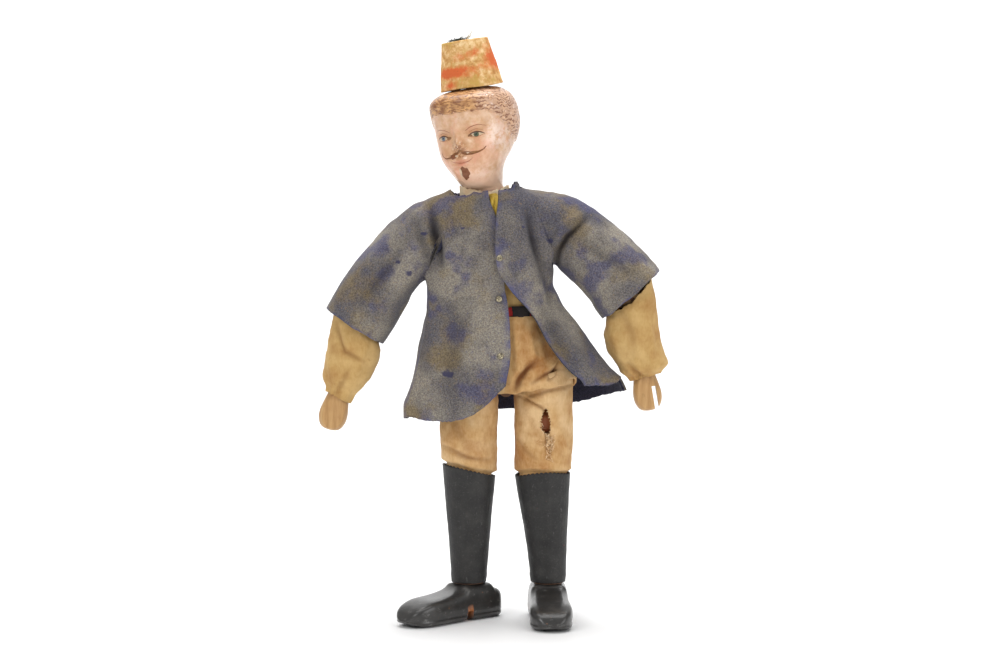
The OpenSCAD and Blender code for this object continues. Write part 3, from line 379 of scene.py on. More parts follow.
def felt_finish():
    """Faded felt: three greys, patches of olive and blue, fine fibres, moth marks, rubbed edges, painted
    shade in the folds and a navy inner side painted darker as shade.
    """
    f = Finish("coat_felt", 0.95, 0.12, sheen=0.1)
    base = f.ramp(f.noise(48, 3, 0.5), (0.36, srgb(96, 94, 100)), (0.5, srgb(120, 115, 110)),
                  (0.62, srgb(152, 145, 132)))
    olive = f.times(f.step(f.noise(62, 3, 0.5, turn=(0.4, 1.1, 0.3)), 0.5, 0.66), 0.8)
    blue = f.times(f.step(f.noise(75, 3, 0.55, turn=(1.3, 0.2, 0.8)), 0.52, 0.64), 0.7)
    patched = f.mix(blue, f.mix(olive, base, srgb(134, 118, 88)), srgb(84, 84, 114))
    fine = f.noise(2100, 3, 0.65)
    tint = f.mix(f.step(fine, 0.36, 0.66), srgb(188, 186, 192), srgb(255, 255, 255))
    speck = f.mix(1.0, patched, tint, "MULTIPLY")
    ochre = f.times(f.step(f.noise(1500, 2, turn=(0.2, 0.9, 0)), 0.6, 0.7), 0.4)
    violet = f.times(f.step(f.noise(1400, 2, turn=(1.1, 0.3, 2)), 0.6, 0.7), 0.4)
    fibres = f.mix(violet, f.mix(ochre, speck, srgb(150, 122, 86)), srgb(78, 80, 118))
    holes = f.minus(f.value("moth"), f.times(f.noise(900, 3, 0.7, turn=(0, 2, 1)), 0.95))
    moth = f.mix(f.times(f.step(holes, -0.12, 0.3), 0.85), fibres, srgb(54, 54, 84))
    rubbed = f.times(f.value("edge"), f.step(f.noise(190, 3), 0.38, 0.62))
    edged = f.mix(f.times(rubbed, 0.65), moth, srgb(76, 78, 120))
    # Painted shade: dark where the cloth folds in, and down the back panel's seam
    shaded = f.mix(f.value("fold"), edged, srgb(40, 37, 40))
    # The inner side: the navy of unfaded felt, painted darker still as the shade inside the coat
    inside = f.ramp(fine, (0.36, srgb(34, 34, 46)), (0.66, srgb(56, 56, 76)))
    f.bump(fine, 0.5, 0.0003)
    f.bump(f.noise(300, 3), 0.3, 0.0005)
    return f.color(f.mix(f.step(f.value("inner"), 0.45, 0.6), shaded, inside))


felt = felt_finish()
print("felt:", felt.name)

# %% Cotton and oilcloth


def cotton_finish(name, pale, mid, dark, pitch=0.00042, stains=0.5):
    """Plain woven cotton in three tones, with blotches, spots and painted shade in its creases."""
    f = Finish(name, 0.85, 0.25, sheen=0.05)
    base = f.ramp(f.noise(75, 4, 0.6), (0.34, dark), (0.48, mid), (0.62, pale))
    blotch = f.step(f.noise(55, 5, 0.62, turn=(0.7, 0.3, 1.9)), 0.52, 0.66)
    stained = f.mix(f.times(blotch, stains), base, dark)
    spots = f.step(f.noise(330, 4, 0.65, turn=(1.7, 0.9, 0)), 0.62, 0.72)
    stained = f.mix(f.times(spots, stains * 0.8), stained, dark)
    slubs = f.ramp(f.noise(1500, 3, 0.7, stretch=(1, 1, 0.35)), (0.3, dark), (0.7, pale))
    thread = f.mix(0.22, stained, slubs)
    # Painted shade in the creases
    shaded = f.mix(f.value("fold"), thread, srgb(120, 74, 38))
    weave(f, pitch, 0.5, 0.00012)
    f.bump(f.noise(420, 4), 0.3, 0.0004)
    return f.color(shaded)


def oilcloth_finish():
    """Nearly black oilcloth with pale pebbles and cracks, and a few red marks."""
    f = Finish("boot_oilcloth", 0.55, 0.35)
    base = f.ramp(f.noise(160, 5, 0.6), (0.3, srgb(30, 29, 29)), (0.55, srgb(42, 41, 40)),
                  (0.75, srgb(54, 52, 50)))
    pebbles = f.noise(1700, 3, 0.7)
    base = f.mix(f.times(f.step(pebbles, 0.55, 0.7), 0.35), base, srgb(82, 80, 78))
    cracks = f.step(f.noise(700, 4, 0.7, stretch=(1, 1, 0.5)), 0.62, 0.7)
    worn = f.mix(f.times(cracks, 0.4), base, srgb(96, 94, 94))
    red = f.step(f.noise(300, 3, 0.5, turn=(0.9, 0.1, 0.4)), 0.74, 0.78)
    marked = f.mix(f.times(red, 0.7), worn, srgb(120, 44, 36))
    f.bump(pebbles, 0.45, 0.0002)
    return f.color(marked)


cotton = cotton_finish("tan_cotton", srgb(224, 190, 142), srgb(200, 158, 104), srgb(166, 112, 58),
                       stains=0.6)
shirt_cotton = cotton_finish("shirt_cotton", srgb(212, 178, 120), srgb(192, 156, 98), srgb(170, 126, 72))
collar_cotton = cotton_finish("collar_cotton", srgb(250, 238, 212), srgb(238, 216, 180),
                              srgb(206, 166, 122), stains=0.35)
oilcloth = oilcloth_finish()
print("cottons and oilcloth:", cotton.name, shirt_cotton.name, collar_cotton.name, oilcloth.name)

# %% [markdown]
# ## The coat's body
# The coat's body is a squared oval whose width and depth change with height. Four tables hold those
# shares: its right and left half widths, and its front and back depths. Two more tables say where the
# front edges lie. The two sleeves are slanting tubes with tables of their own. Each shape has two
# functions: one gives a point of its skin, and one says how far any point is outside it.

# %% The coat's tables
coat_top, coat_hem, coat_half_w, coat_depth, coat_square = 157.0, 73.4, 24.0, 15.4, 2.5
coat_h, felt_t = coat_top - coat_hem, 1.4
coat_widths = {
    RIGHT: [[0, 1.57], [0.06, 1.57], [0.113, 1.52], [0.166, 1.46], [0.27, 1.36], [0.324, 1.3], [0.377, 1.22],
            [0.43, 1.16], [0.482, 1.08], [0.533, 1.05], [0.586, 1.05], [0.64, 1.02], [0.75, 0.95],
            [0.869, 0.85], [0.94, 0.71], [0.982, 0.57], [1, 0.5]],
    LEFT: [[0, 1.9], [0.162, 1.74], [0.219, 1.55], [0.27, 1.42], [0.324, 1.3], [0.377, 1.2], [0.43, 1.09],
           [0.482, 0.96], [0.533, 0.88], [0.586, 0.83], [0.64, 0.86], [0.75, 0.9], [0.869, 0.85],
           [0.94, 0.72], [0.982, 0.58], [1, 0.5]],
}
coat_front = [[0, 1.22], [0.2, 1.14], [0.38, 1.05], [0.54, 1], [0.68, 1.01], [0.8, 0.98], [0.89, 0.93],
              [0.95, 0.86], [1, 0.74]]
coat_rear = [[0, 1.42], [0.2, 1.2], [0.38, 1.02], [0.54, 0.97], [0.74, 0.98], [0.89, 0.92], [0.95, 0.85],
             [1, 0.74]]
right_edge = [[0, -0.1], [0.1, -0.06], [0.16, -0.01], [0.324, 0.123], [0.5, 0.15], [0.58, 0.13],
              [0.69, 0.14], [0.8, 0.14], [0.89, 0.108], [0.96, 0.04], [1, 0.03]]
left_edge = [[0, 1.3], [0.183, 1.084], [0.218, 0.968], [0.335, 0.694], [0.462, 0.482], [0.58, 0.18],
             [0.65, 0.06], [0.7, 0.04], [0.89, 0.11], [0.96, 0.158], [1, 0.17]]
sleeve_r, sleeve_len = 13.2, {RIGHT: 46.0, LEFT: 42.3}
# Each row: a share of the sleeve's length, its reach on the outer side and its reach on the under side
sleeve_reach = {
    RIGHT: [[-0.34, 0.32, 0.24], [-0.28, 0.46, 0.36], [-0.17, 0.7, 0.62], [-0.05, 0.89, 0.72],
            [0.04, 0.96, 0.71], [0.19, 1.06, 0.68], [0.31, 1.08, 0.66], [0.5, 1.06, 0.66],
            [0.61, 1.05, 0.73], [0.71, 1.03, 0.81], [0.82, 0.99, 0.88], [1, 0.9, 0.95]],
    LEFT: [[-0.34, 0.14, 0.1], [-0.28, 0.28, 0.3], [-0.2, 0.47, 0.56], [-0.11, 0.69, 0.69],
           [0, 0.88, 0.73], [0.105, 1.02, 0.74], [0.29, 1.13, 0.74], [0.45, 1.16, 0.75],
           [0.6, 1.17, 0.77], [0.76, 1.17, 0.8], [0.88, 1.16, 0.88], [1, 1.12, 0.95]],
}
# The sleeve's inner end, inside the shoulder, and where its rim is, as shares of its length
sleeve_inner, sleeve_rim = -0.34, 0.965
sleeve_deep = [[-0.34, 0.5], [-0.17, 0.78], [0, 0.88], [0.3, 0.92], [1, 0.96]]


print("coat", coat_h, "mm long, sleeves", sleeve_len[RIGHT], "and", sleeve_len[LEFT], "mm long")

# %% The coat's skin


def axis_x(z):
    """The body's middle line leans to its right above the hips."""
    return pelvis_x - np.clip(z - hip_height, 0, None) * math.tan(math.radians(torso_lean))


def coat_size(z, on_right, in_front):
    """The coat's half width and depth at a height, from the four tables."""
    h = (z - coat_hem) / coat_h
    w = np.where(on_right, smooth(coat_widths[RIGHT], h), smooth(coat_widths[LEFT], h))
    return coat_half_w * w, coat_depth * np.where(in_front, smooth(coat_front, h), smooth(coat_rear, h))


def coat_point(turn, z, lift=0.0):
    """Turn 0 is the doll's left side, 90 its back: x goes with cos and y with sin, each to a power."""
    c, d = np.cos(turn), np.sin(turn)
    wide, deep = coat_size(z, c < 0, d < 0)
    x = axis_x(z) + (wide + lift) * powered(c, 2 / coat_square)
    return np.stack([x, body_y + (deep + lift) * powered(d, 2 / coat_square), z + 0 * turn], -1)


def coat_field(p):
    """About how far a point is outside the coat's body, in millimetres; less than 0 inside."""
    x, y, z = p[..., 0] - axis_x(p[..., 2]), p[..., 1] - body_y, p[..., 2]
    wide, deep = coat_size(z, x < 0, y < 0)
    r = (np.abs(x / wide) ** coat_square + np.abs(y / deep) ** coat_square) ** (1 / coat_square)
    return (r - 1) * np.hypot(x, y) / np.maximum(r, 0.05)


print("coat's middle line at its top:", round(float(axis_x(coat_top)), 2), "mm")

# %% The sleeves' skin


def sleeve_sides(s, along):
    """Half width, shift to the outer side and half depth of a sleeve at a share of its length."""
    rows = np.array(sleeve_reach[s])
    outer, under = (sleeve_r * smooth(rows[:, [0, i]], along) for i in (1, 2))
    return (outer + under) / 2, s * (outer - under) / 2, sleeve_r * smooth(sleeve_deep, along)


def sleeve_point(s, turn, along):
    """An oval round the arm, in the arm's frame, then turned into the doll's frame."""
    half, middle, deep = sleeve_sides(s, along)
    z = -along * sleeve_len[s] * (sleeve_rim + 0.035 * s * np.cos(turn))
    return to_world(upper_arm[s], np.stack([middle + half * np.cos(turn), deep * np.sin(turn), z], -1))


def sleeve_field(s, p):
    """About how far a point is outside a sleeve. The sleeve ends inside the shoulder."""
    q = to_local(upper_arm[s], p)
    along = -q[..., 2] / (sleeve_rim * sleeve_len[s])
    half, middle, deep = sleeve_sides(s, along)
    r = np.hypot((q[..., 0] - middle) / half, q[..., 1] / deep)
    return (r - 1) * np.minimum(half, deep) + np.clip(sleeve_inner - along, 0, None) * sleeve_len[s]


def both_sleeves(p):
    """The field of the two sleeves together."""
    return np.minimum(sleeve_field(RIGHT, p), sleeve_field(LEFT, p))


print("a sleeve's half width, shift and half depth:", sleeve_sides(RIGHT, 0.5))

# %% [markdown]
# ### Where sleeve and body meet
# Felt doesn't meet felt in a hard corner. Near the seam, the body's skin and the sleeve's skin each rise
# along their own normals by the rounding of a smooth minimum of their two fields. The part of each that
# lies deep inside the other is left out, as a tailor's armhole is.

# %% Rounding the seam
SEAM_BLEND, SEAM_CUT = 3.2, 2.4


def skin_normals(points, loop):
    """Outward directions on a grid: the crossed slopes along its rows and columns."""
    if loop:
        across = np.roll(points, -1, 1) - np.roll(points, 1, 1)
    else:
        across = np.gradient(points, axis=1)
    n = np.cross(across, np.gradient(points, axis=0))
    return n / np.maximum(np.linalg.norm(n, axis=-1, keepdims=True), 1e-9)


def rounded(points, loop, other):
    """Raises a skin along its normals near the skin that it meets, so that both share a rounded valley."""
    n = skin_normals(points, loop)
    rise = np.zeros(points.shape[:-1])
    for _ in range(6):
        gap = np.abs(other(points + n * rise[..., None]) - rise)
        rise = (rise + np.clip(SEAM_BLEND - gap, 0, None) ** 2 / (4 * SEAM_BLEND)) / 2
    return points + n * rise[..., None]


print("the seam is rounded over", SEAM_BLEND, "mm")

# %% [markdown]
# ### Folds of the cloth
# Old felt and cotton keep the creases of years. A fold is a line of given points with a width and
# a height: the skin moves out or in along its normals, as a bell across the line, and a deep fold is
# also told to the material as painted shade, which darkens it.

# %% Folds as strokes


def stroke_share(points, path, width, front=True):
    """How strongly a fold acts: 1 on its line, falling off with distance, and less towards its ends."""
    path = np.array(path, float)
    best = np.zeros(points.shape[:-1])
    x, z = points[..., 0], points[..., 2]
    steps = np.linalg.norm(np.diff(path, axis=0), axis=1)
    reached = np.concatenate([[0], np.cumsum(steps)]) / steps.sum()
    for i, step in enumerate(steps):
        d = (path[i + 1] - path[i]) / step
        t = np.clip((x - path[i, 0]) * d[0] + (z - path[i, 1]) * d[1], 0, step)
        gap = np.hypot(x - path[i, 0] - t * d[0], z - path[i, 1] - t * d[1])
        s = reached[i] + (reached[i + 1] - reached[i]) * t / step
        best = np.maximum(best, np.exp(-((gap / width) ** 2)) * np.sin(np.pi * (0.12 + 0.76 * s)) ** 0.7)
    facing = points[..., 1] - body_y
    return best * ease(-facing if front else facing, -3, 3)


def fold(points, strokes, loop):
    """Moves a skin in or out along its normals by every fold, and says how much painted shade each point
    gets from its depth in a fold.
    """
    n = skin_normals(points, loop)
    lift, dark = np.zeros(points.shape[:-1]), np.zeros(points.shape[:-1])
    for path, width, height, front in strokes:
        share = stroke_share(points, path, width, front)
        lift += height * share
        # Painted shade: an inward fold darkens the colour, the deeper the more
        dark = np.maximum(dark, share**1.6 * np.clip(-height / 2.6, 0, 1))
    return points + n * lift[..., None], dark

# %% The coat's folds
# A fold: its path of x and z, its width, how far it stands out, and whether it is in front
armhole_folds = [
    ([(-22.5, 151), (-21.2, 145), (-19.9, 138), (-19.0, 130)], 2.0, -2.5, True),
    ([(-28.2, 145.6), (-25, 138), (-21.8, 131)], 2.3, -1.2, True),
    ([(-18.0, 147), (-16.8, 138), (-16.2, 130)], 1.9, 0.9, True),
    ([(12.8, 149.4), (14.2, 142), (16.6, 134), (18.6, 127)], 2.0, -2.2, True),
    ([(31.4, 148), (24.4, 142.4), (21.2, 136.5), (20.6, 131)], 1.5, 1.3, True),
    ([(33.4, 146.2), (26.4, 139.8), (23.4, 134.6), (22.6, 129.5)], 1.2, -2.4, True),
    ([(18.4, 128), (20.4, 121), (21.4, 114)], 1.5, -1.2, True),
]
skirt_folds = [
    ([(-26, 112), (-29, 98), (-33, 84)], 3.0, -1.6, True),
    ([(-21, 118), (-22, 100), (-24, 84)], 3.4, 1.2, True),
    ([(-12, 120), (-14, 100), (-15, 82)], 4.5, -0.9, True),
    ([(-4, 128), (-5, 108), (-6, 84)], 4.0, 0.6, True),
    ([(17, 118), (22, 106), (29, 94)], 3.0, -1.2, True),
    ([(20.5, 112), (28, 100), (37, 88)], 3.0, 1.1, True),
]
armhole_back_folds = [
    ([(-18, 140), (-16, 128), (-15, 116)], 2.4, -2.2, False),
    ([(16, 142), (16, 128), (15, 116)], 2.4, -2.2, False),
]
back_folds = [
    ([(-8, 120), (-12, 98), (-18, 80)], 4.5, -1.6, False),
    ([(8, 118), (14, 98), (22, 80)], 4.5, -1.6, False),
    ([(0, 110), (1, 92), (3, 76)], 5.0, 1.4, False),
]
coat_folds = armhole_folds + skirt_folds + armhole_back_folds + back_folds
sleeve_folds = {
    RIGHT: [
        ([(-31, 138), (-38, 128), (-47, 117)], 2.6, -1.3, True),
        ([(-36, 140), (-46, 130), (-56, 118)], 3.0, 0.9, True),
        ([(-28, 128), (-34, 119), (-40, 108)], 2.4, 1.0, True),
        ([(-34, 134), (-46, 122), (-52, 110)], 3.2, -1.4, False),
    ],
    LEFT: [
        ([(30, 140), (40, 133), (52, 126)], 2.8, -1.0, True),
        ([(29, 127), (36, 121), (43, 114)], 2.4, 1.0, True),
        ([(34, 134), (44, 124), (50, 112)], 3.2, -1.4, False),
    ],
}
print("folds of the coat:", len(coat_folds))

# %% [markdown]
# ### Thick felt
# Felt is thick enough for its cut edge to show, and its unfaded inner side is navy, painted darker still as
# shade inside the coat. So a piece of felt is the skin, the same skin moved in along its normals, and a band
# that closes the cut edge. The moths have eaten small marks where the old blue shows.

# %% A piece of felt
# A moth mark: its x and z, and its half width and half height
moth_holes = [(-10.6, 143.2, 1.1, 0.6), (11.0, 143.8, 0.9, 0.4), (-24.5, 141.2, 1.6, 0.8),
              (20.6, 138.6, 1.6, 1.2), (-16, 91, 2.6, 1.4), (-30, 127, 1.6, 1.2), (-34, 131, 1.2, 0.8),
              (-25, 117, 1.2, 0.9), (23, 90, 3, 1.6)]


def felt_piece(name, points, faces, loop, body, replaced, values, apart):
    """Felt with an inner side: the skin, the skin moved in along its normals, and the cut edge."""
    count = points.shape[0] * points.shape[1]
    # The felt is pressed thinner in the seam, where apart from the other skin is small
    inner = points - skin_normals(points, loop) * (felt_t * (0.15 + 0.85 * ease(apart, 0, 3)))[..., None]
    a, b = faces.ravel(), np.roll(faces, -1, 1).ravel()
    bare = ~np.isin(a * count + b, b * count + a)
    rim = np.stack([b[bare], a[bare], a[bare] + count, b[bare] + count], -1)
    both = np.concatenate([points.reshape(-1, 3), inner.reshape(-1, 3)])
    doubled = {key: np.tile(np.ravel(data), 2) for key, data in values.items()}
    doubled["inner"] = np.repeat([0.0, 1.0], count)
    closed = np.concatenate([faces, faces[:, ::-1] + count, rim])
    obj = make_mesh(name, both, closed, felt, body, (replaced,), doubled)
    keep_cut(points, faces, loop)
    return obj


def felt_values(points, dark, edge):
    """Painted shade of folds, blue moth-eaten marks and the bare edge, each from 0 to 1 at a point."""
    x, z = points[..., 0], points[..., 2]
    moth = np.zeros(x.shape)
    ragged = 1 + 0.5 * wave_noise(points, 2.4, 5)
    for mx, mz, w, h in moth_holes:
        moth = np.maximum(moth, np.exp(-((((x - mx) / w) ** 2 + ((z - mz) / h) ** 2) * ragged)))
    return {"fold": dark, "moth": moth * (points[..., 1] < body_y), "edge": edge}


print("moth marks:", len(moth_holes), "in felt", felt_t, "mm thick")

# %% [markdown]
# ### Cutting the coat
# The back is one panel, and each front is one more. Their rows run from the hem to the neck and their
# columns run round the body. The left front laps a little over the right one at the chest. Hems are cut
# by hand, so each has a slightly ragged line, and the felt flares in waves towards its hem.

# %% A panel of the coat


def cut_edge(shape, scale, size, seed):
    """A slightly ragged line of cuts, as an offset for each column or row."""
    line = np.stack([np.arange(shape) * 1.0, np.zeros(shape), np.zeros(shape)], -1)
    return size * wave_noise(line, scale, seed, 4)


def coat_panel(name, turns, hem, lift, seed, replaced, body="torso"):
    """The coat's skin with a flare towards the hem, rounded at the sleeves, then folded and roughened."""
    share = np.linspace(0, 1, panel_rows)[:, None]
    columns = turns(np.array([[coat_top]])).shape[1]
    low = hem + cut_edge(columns, 9, 0.25, seed)
    rough_turn = turns(np.full((1, columns), coat_top - 1))
    top = coat_top + cut_edge(columns, 17, 0.4, seed + 1) - 2.1 * ease(-np.cos(rough_turn), -0.2, 0.6)
    top = top + 2.4 * np.exp(-(((rough_turn - 5.72) / 0.26) ** 2))
    z = low + (top - low) * share
    turn = turns(z)
    flat = coat_point(turn, z, lift)
    flare = (1 - share) ** 1.5 * (0.7 * np.cos(5 * turn) + 0.4 * np.cos(9 * turn + 1))
    start = flat + skin_normals(flat, False) * flare[..., None]
    inside = both_sleeves(start)
    placed = rounded(start, False, both_sleeves)
    folded, dark = fold(placed, coat_folds, False)
    folded = folded + skin_normals(folded, False) * (0.35 * wave_noise(folded, 22, seed + 2))[..., None]
    faces_in = (inside[1:, 1:] > -SEAM_CUT) | (share[1:] < 0.4)
    faces = quads(*turn.shape, False, faces_in)
    across = np.linspace(0, 1, columns)[None, :]
    front_edge = {"coat_front_right": across, "coat_front_left": 1 - across}.get(replaced, 0 * across)
    edge = np.maximum(ease(-share, -0.012, 0.0), ease(share, 0.985, 1.0))
    edge = np.maximum(edge, ease(front_edge, 0.93, 1.0))
    if replaced == "coat_back":
        edge = np.maximum(edge, 0.7 * ease(turn, np.pi - 0.02, np.pi + 0.03))
        # Painted shadow: a dark band down the back panel's end at the right side seam, in its lower part
        dark = np.maximum(dark, 0.8 * ease(across, 0.982, 1.0) * ease(-share, -0.62, -0.5))
    values = felt_values(folded, dark, edge + 0 * turn)
    return felt_piece(name, folded, faces, False, body, replaced, values, inside)


def edge_turn(z, table):
    """The turn at which a front panel ends, so that its edge lies at the table's place across."""
    x = coat_half_w * smooth(table, (z - coat_hem) / coat_h)
    wide, _ = coat_size(z, x < 0, True)
    return 2 * np.pi - np.arccos(powered(np.clip(x / wide, -1, 1), coat_square / 2))


def spread(columns, first, last):
    """Turns between two lines, the second or first of which may change with height."""
    return lambda z: first(z) + (last(z) - first(z)) * np.linspace(0, 1, columns)


def side_seam(z):
    """The right side seam swings forward towards the hem, so a strip of the back shows in front."""
    return np.pi + 0.45 * ease(-z, -136, -118)


print("side seam at the hem:", round(float(side_seam(coat_hem)), 3), "radians")

# %% The back and the two fronts
panel_rows, back_columns, front_columns = 150, 260, 150
t = np.linspace(0, 1, back_columns)
back_turns = spread(back_columns, lambda z: 0 * z[:, :1], lambda z: side_seam(z[:, -1:]))
back_hem = coat_hem + 0.12 * coat_h * np.cos(np.pi * t / 2) ** 8 + 1.5 * ease(t, 0.86, 1)
coat_back = coat_panel("coat_back_panel", back_turns, back_hem, 0, 11, "coat_back")
t = np.linspace(0, 1, front_columns)
right_turns = spread(front_columns, lambda z: side_seam(z[:, :1]),
                     lambda z: edge_turn(z[:, -1:], right_edge))
right_hem = coat_hem + coat_h * (0.02 * (1 - t) ** 2 + 0.16 * t**6)
lap = 1.0 * np.exp(-((t / 0.07) ** 2))
coat_right = coat_panel("coat_front_panel_right", right_turns, right_hem, lap, 21, "coat_front_right", None)
left_turns = spread(front_columns, lambda z: edge_turn(z[:, :1], left_edge),
                    lambda z: 0 * z[:, :1] + 2 * np.pi)
left_hem = coat_hem + coat_h * (0.16 + 0.02 * t)
lap = 2.0 * np.sqrt(1 - t)
coat_left = coat_panel("coat_front_panel_left", left_turns, left_hem, lap, 31, "coat_front_left", None)

# %% [markdown]
# ### The coat's sleeves
# A sleeve is a wide tube round the upper arm. Its rows run from the rim to its inner end in the shoulder,
# and its skin rises beside the coat's body as the body's does beside the sleeve. What lies deep inside
# the body is left out.

# %% Coat sleeves
sleeve_rows, sleeve_columns = 150, 180
coat_sleeve = {}
for s in (RIGHT, LEFT):
    turn = np.linspace(0, 2 * np.pi, sleeve_columns, endpoint=False)
    turn, share = grid(turn, np.linspace(0, 1, sleeve_rows))
    along = 1 - (1 - sleeve_inner) * share
    along = along + ease(-share, -0.05, 0) * cut_edge(sleeve_columns, 20, 0.006, 40 + s)
    start = sleeve_point(s, turn, along)
    start = start + skin_normals(start, True) * (0.45 * wave_noise(start, 16, 44 + s))[..., None]
    inside = coat_field(start)
    placed = rounded(start, True, coat_field)
    folded, dark = fold(placed, armhole_folds + armhole_back_folds + sleeve_folds[s], True)
    faces = quads(*turn.shape, True, inside[1:] > -SEAM_CUT)
    values = felt_values(folded, dark, ease(-share, -0.02, 0.0))
    coat_sleeve[s] = felt_piece(f"coat_felt_sleeve_{SIDE[s]}", folded, faces, True, None,
                                f"coat_sleeve_{SIDE[s]}", values, inside)

# %% [markdown]
# ## The painted head
# The head is one turned and carved piece of wood with a painted face. Its level rounds are squared
# ovals from one table. The nose, brows, eye hollows, lips and chin are low swellings added in front,
# and the hair is a slightly raised coat of paint with a ragged edge.

# %% The head's shape
crown, head_w, head_d = 38.5, 29.4, 33.0
# Rows: share of the crown's height, of half the width, of half the depth, forward shift, squareness
head_rows = np.array([
    [-0.12, 0.435, 0.388, 0, 2], [0.0, 0.435, 0.388, 0, 2], [0.05, 0.44, 0.42, 0.02, 2],
    [0.08, 0.46, 0.48, 0.07, 2],
    [0.13, 0.51, 0.57, 0.14, 2], [0.2, 0.57, 0.64, 0.21, 2.05], [0.28, 0.68, 0.7, 0.24, 2.1],
    [0.37, 0.82, 0.79, 0.17, 2.15], [0.46, 0.91, 0.87, 0.07, 2.2], [0.56, 0.97, 0.95, -0.02, 2.2],
    [0.66, 1, 1, -0.06, 2.15], [0.75, 1, 1.01, -0.04, 2.15], [0.83, 0.98, 0.99, 0.01, 2.2],
    [0.89, 0.93, 0.96, 0.06, 2.2], [0.94, 0.84, 0.88, 0.08, 2.1], [0.975, 0.7, 0.73, 0.06, 2],
    [1, 0.42, 0.44, 0.02, 2],
])


def head_sizes(h):
    """Half width, half depth, forward shift and squareness at a height above the neck's pivot."""
    at = h / crown
    w, d, f, n = (smooth(head_rows[:, [0, i]], at) for i in (1, 2, 3, 4))
    return w * head_w / 2, d * head_d / 2, f * head_d / 2, n


def swell(x, h, cx, ch, wide, high):
    """A round swelling: 1 in its middle, falling off as a bell."""
    return np.exp(-(((x - cx) / wide) ** 2) - ((h - ch) / high) ** 2)


def face_relief(x, h):
    """How far the face stands out, in millimetres, as a sum of swellings and hollows."""
    ax = np.abs(x)
    r = 0.9 * swell(x, h, 0, 23.5, 1.4, 3.2) + 1.5 * swell(x, h, 0.1, 19.6, 1.6, 2.0)
    r += 0.5 * swell(ax, h, 1.7, 18.4, 0.8, 0.9) - 0.25 * swell(ax, h, 1.2, 17.3, 0.8, 0.5)
    r += -0.75 * swell(ax, h, 5.6, 22.6, 3.4, 2.2) + 0.55 * swell(ax, h, 6.7, 22.1, 2.2, 1.2)
    r += 0.35 * swell(ax, h, 6, 26, 4.5, 1.3) + 0.5 * swell(ax, h, 8.2, 16.5, 3.6, 3.4)
    r += 0.5 * swell(x, h, 0.3, 13.6, 3.2, 0.8) + 0.45 * swell(x, h, 0.4, 11.7, 2.6, 0.9)
    r += -0.4 * swell(x, h, 0.4, 12.65, 3.6, 0.4) - 0.3 * swell(x, h, 0.4, 10.2, 3, 0.9)
    return r + 0.6 * swell(x, h, 0.3, 7.4, 3.4, 2.4)


def face_point(x, h, lift=0.0):
    """The point of the face in front at a place across and a height, in the doll's frame."""
    w, d, f, n = head_sizes(h)
    c = np.clip(np.abs(x) / w, 0, 0.995)
    y = -d * (1 - c**n) ** (1 / n) - f - face_relief(x, h) - lift
    return to_world(head, np.stack([x + 0 * y, y, h + 0 * y], -1))


print("head:", head_w, "mm wide,", crown, "mm high")

# %% [markdown]
# ### The head's surface
# The grid has more columns in front, where the face is. The level rounds run from under the neck to the
# crown, and the last one shrinks to a point. Each point also carries numbers for the paint: how far it
# is inside the hairline, and how much blush, wear, shadow and light it has.

# %% The head's grid
# Rows: degrees round from the middle of the face, and the height of the hairline there
hairline = [[0, 30.4], [38, 30.2], [58, 28.4], [72, 24.6], [84, 20.5], [100, 18.5], [130, 16.5], [180, 14.5]]
u = np.linspace(-1, 1, 421)[:-1]
around = np.pi * (0.45 * u + 0.55 * u**3)
neck_levels, face_levels = np.linspace(-4, 5, 24), np.linspace(5, 30, 130)
levels = np.concatenate([neck_levels, face_levels[1:], np.linspace(30, crown, 46)[1:]])
around, h = grid(around, levels)
w, d, f, n = head_sizes(h)
x = w * powered(np.sin(around), 2 / n)
front = -powered(np.cos(around), 2 / n)
y = d * front - f
in_front = ease(-front, 0.25, 0.75)
angle = np.degrees(np.abs(around))
hair_depth = h - smooth(hairline, angle) + 0.25 * wave_noise(np.stack([x, y, h], -1), 5, 61)
hair_in = ease(hair_depth, -0.25, 0.45)
raised = 0.45 * hair_in * (1 - ease(h, 34, crown))
size = np.hypot(x, y)
local = np.stack([x * (1 + raised / size), y * (1 + raised / size) - in_front * face_relief(x, h), h], -1)
rounds = [local]
for share in (0.75, 0.5, 0.25, 0.02):
    rounds.append(np.concatenate([local[-1:, :, :2] * share, local[-1:, :, 2:] + 0.05], -1))
local = np.concatenate(rounds)
pad = [(0, len(rounds) - 1), (0, 0)]
blush = (swell(np.abs(x), h, 9.5, 15.5, 4.2, 3.6) + 0.9 * swell(x, h, 1, 9, 9, 4.5)) * in_front
worn = (swell(x, h, 0.2, 18.2, 2.6, 2.2) + 0.8 * swell(x, h, -1.0, 15.2, 4.0, 1.0)) * in_front
shadow = 0.8 * swell(np.abs(x), h, 5.2, 23.6, 3.2, 1.4) + 0.6 * swell(x, h, 0.3, 12.6, 4.4, 1.2)
shadow = (shadow + 0.7 * swell(x, h, 0, 17.2, 2.2, 0.8)) * in_front
lip = (swell(x, h, 0.5, 13.35, 2.8, 0.5) + swell(x, h, 0.6, 12.0, 2.3, 0.6)) * in_front
# Pale: painted highlights on the cheek, brow and chin, where the paint is also rubbed paler
pale = 0.9 * swell(x, h, 12.4, 20.5, 2.4, 5.5) + 0.3 * swell(x, h, 0, 28, 9, 2.2)
pale = (pale + 0.3 * swell(x, h, 6, 8, 7, 3.2)) * ease(-front, -0.5, 0.1)
# Side: the doll's left side, where the hair is lighter as rubbed paint and painted highlight
# Under: painted light on the neck under the chin, where shade falls
marks = {"hair": hair_depth, "blush": blush, "worn": worn, "shadow": shadow, "lip": lip, "pale": pale,
         "side": ease(np.sin(around), 0.35, 0.95), "under": ease(-h, -9.5, -3)}
head_values = {key: np.pad(np.clip(value, -6, 6), pad, mode="edge") for key, value in marks.items()}
print("head grid:", local.shape)
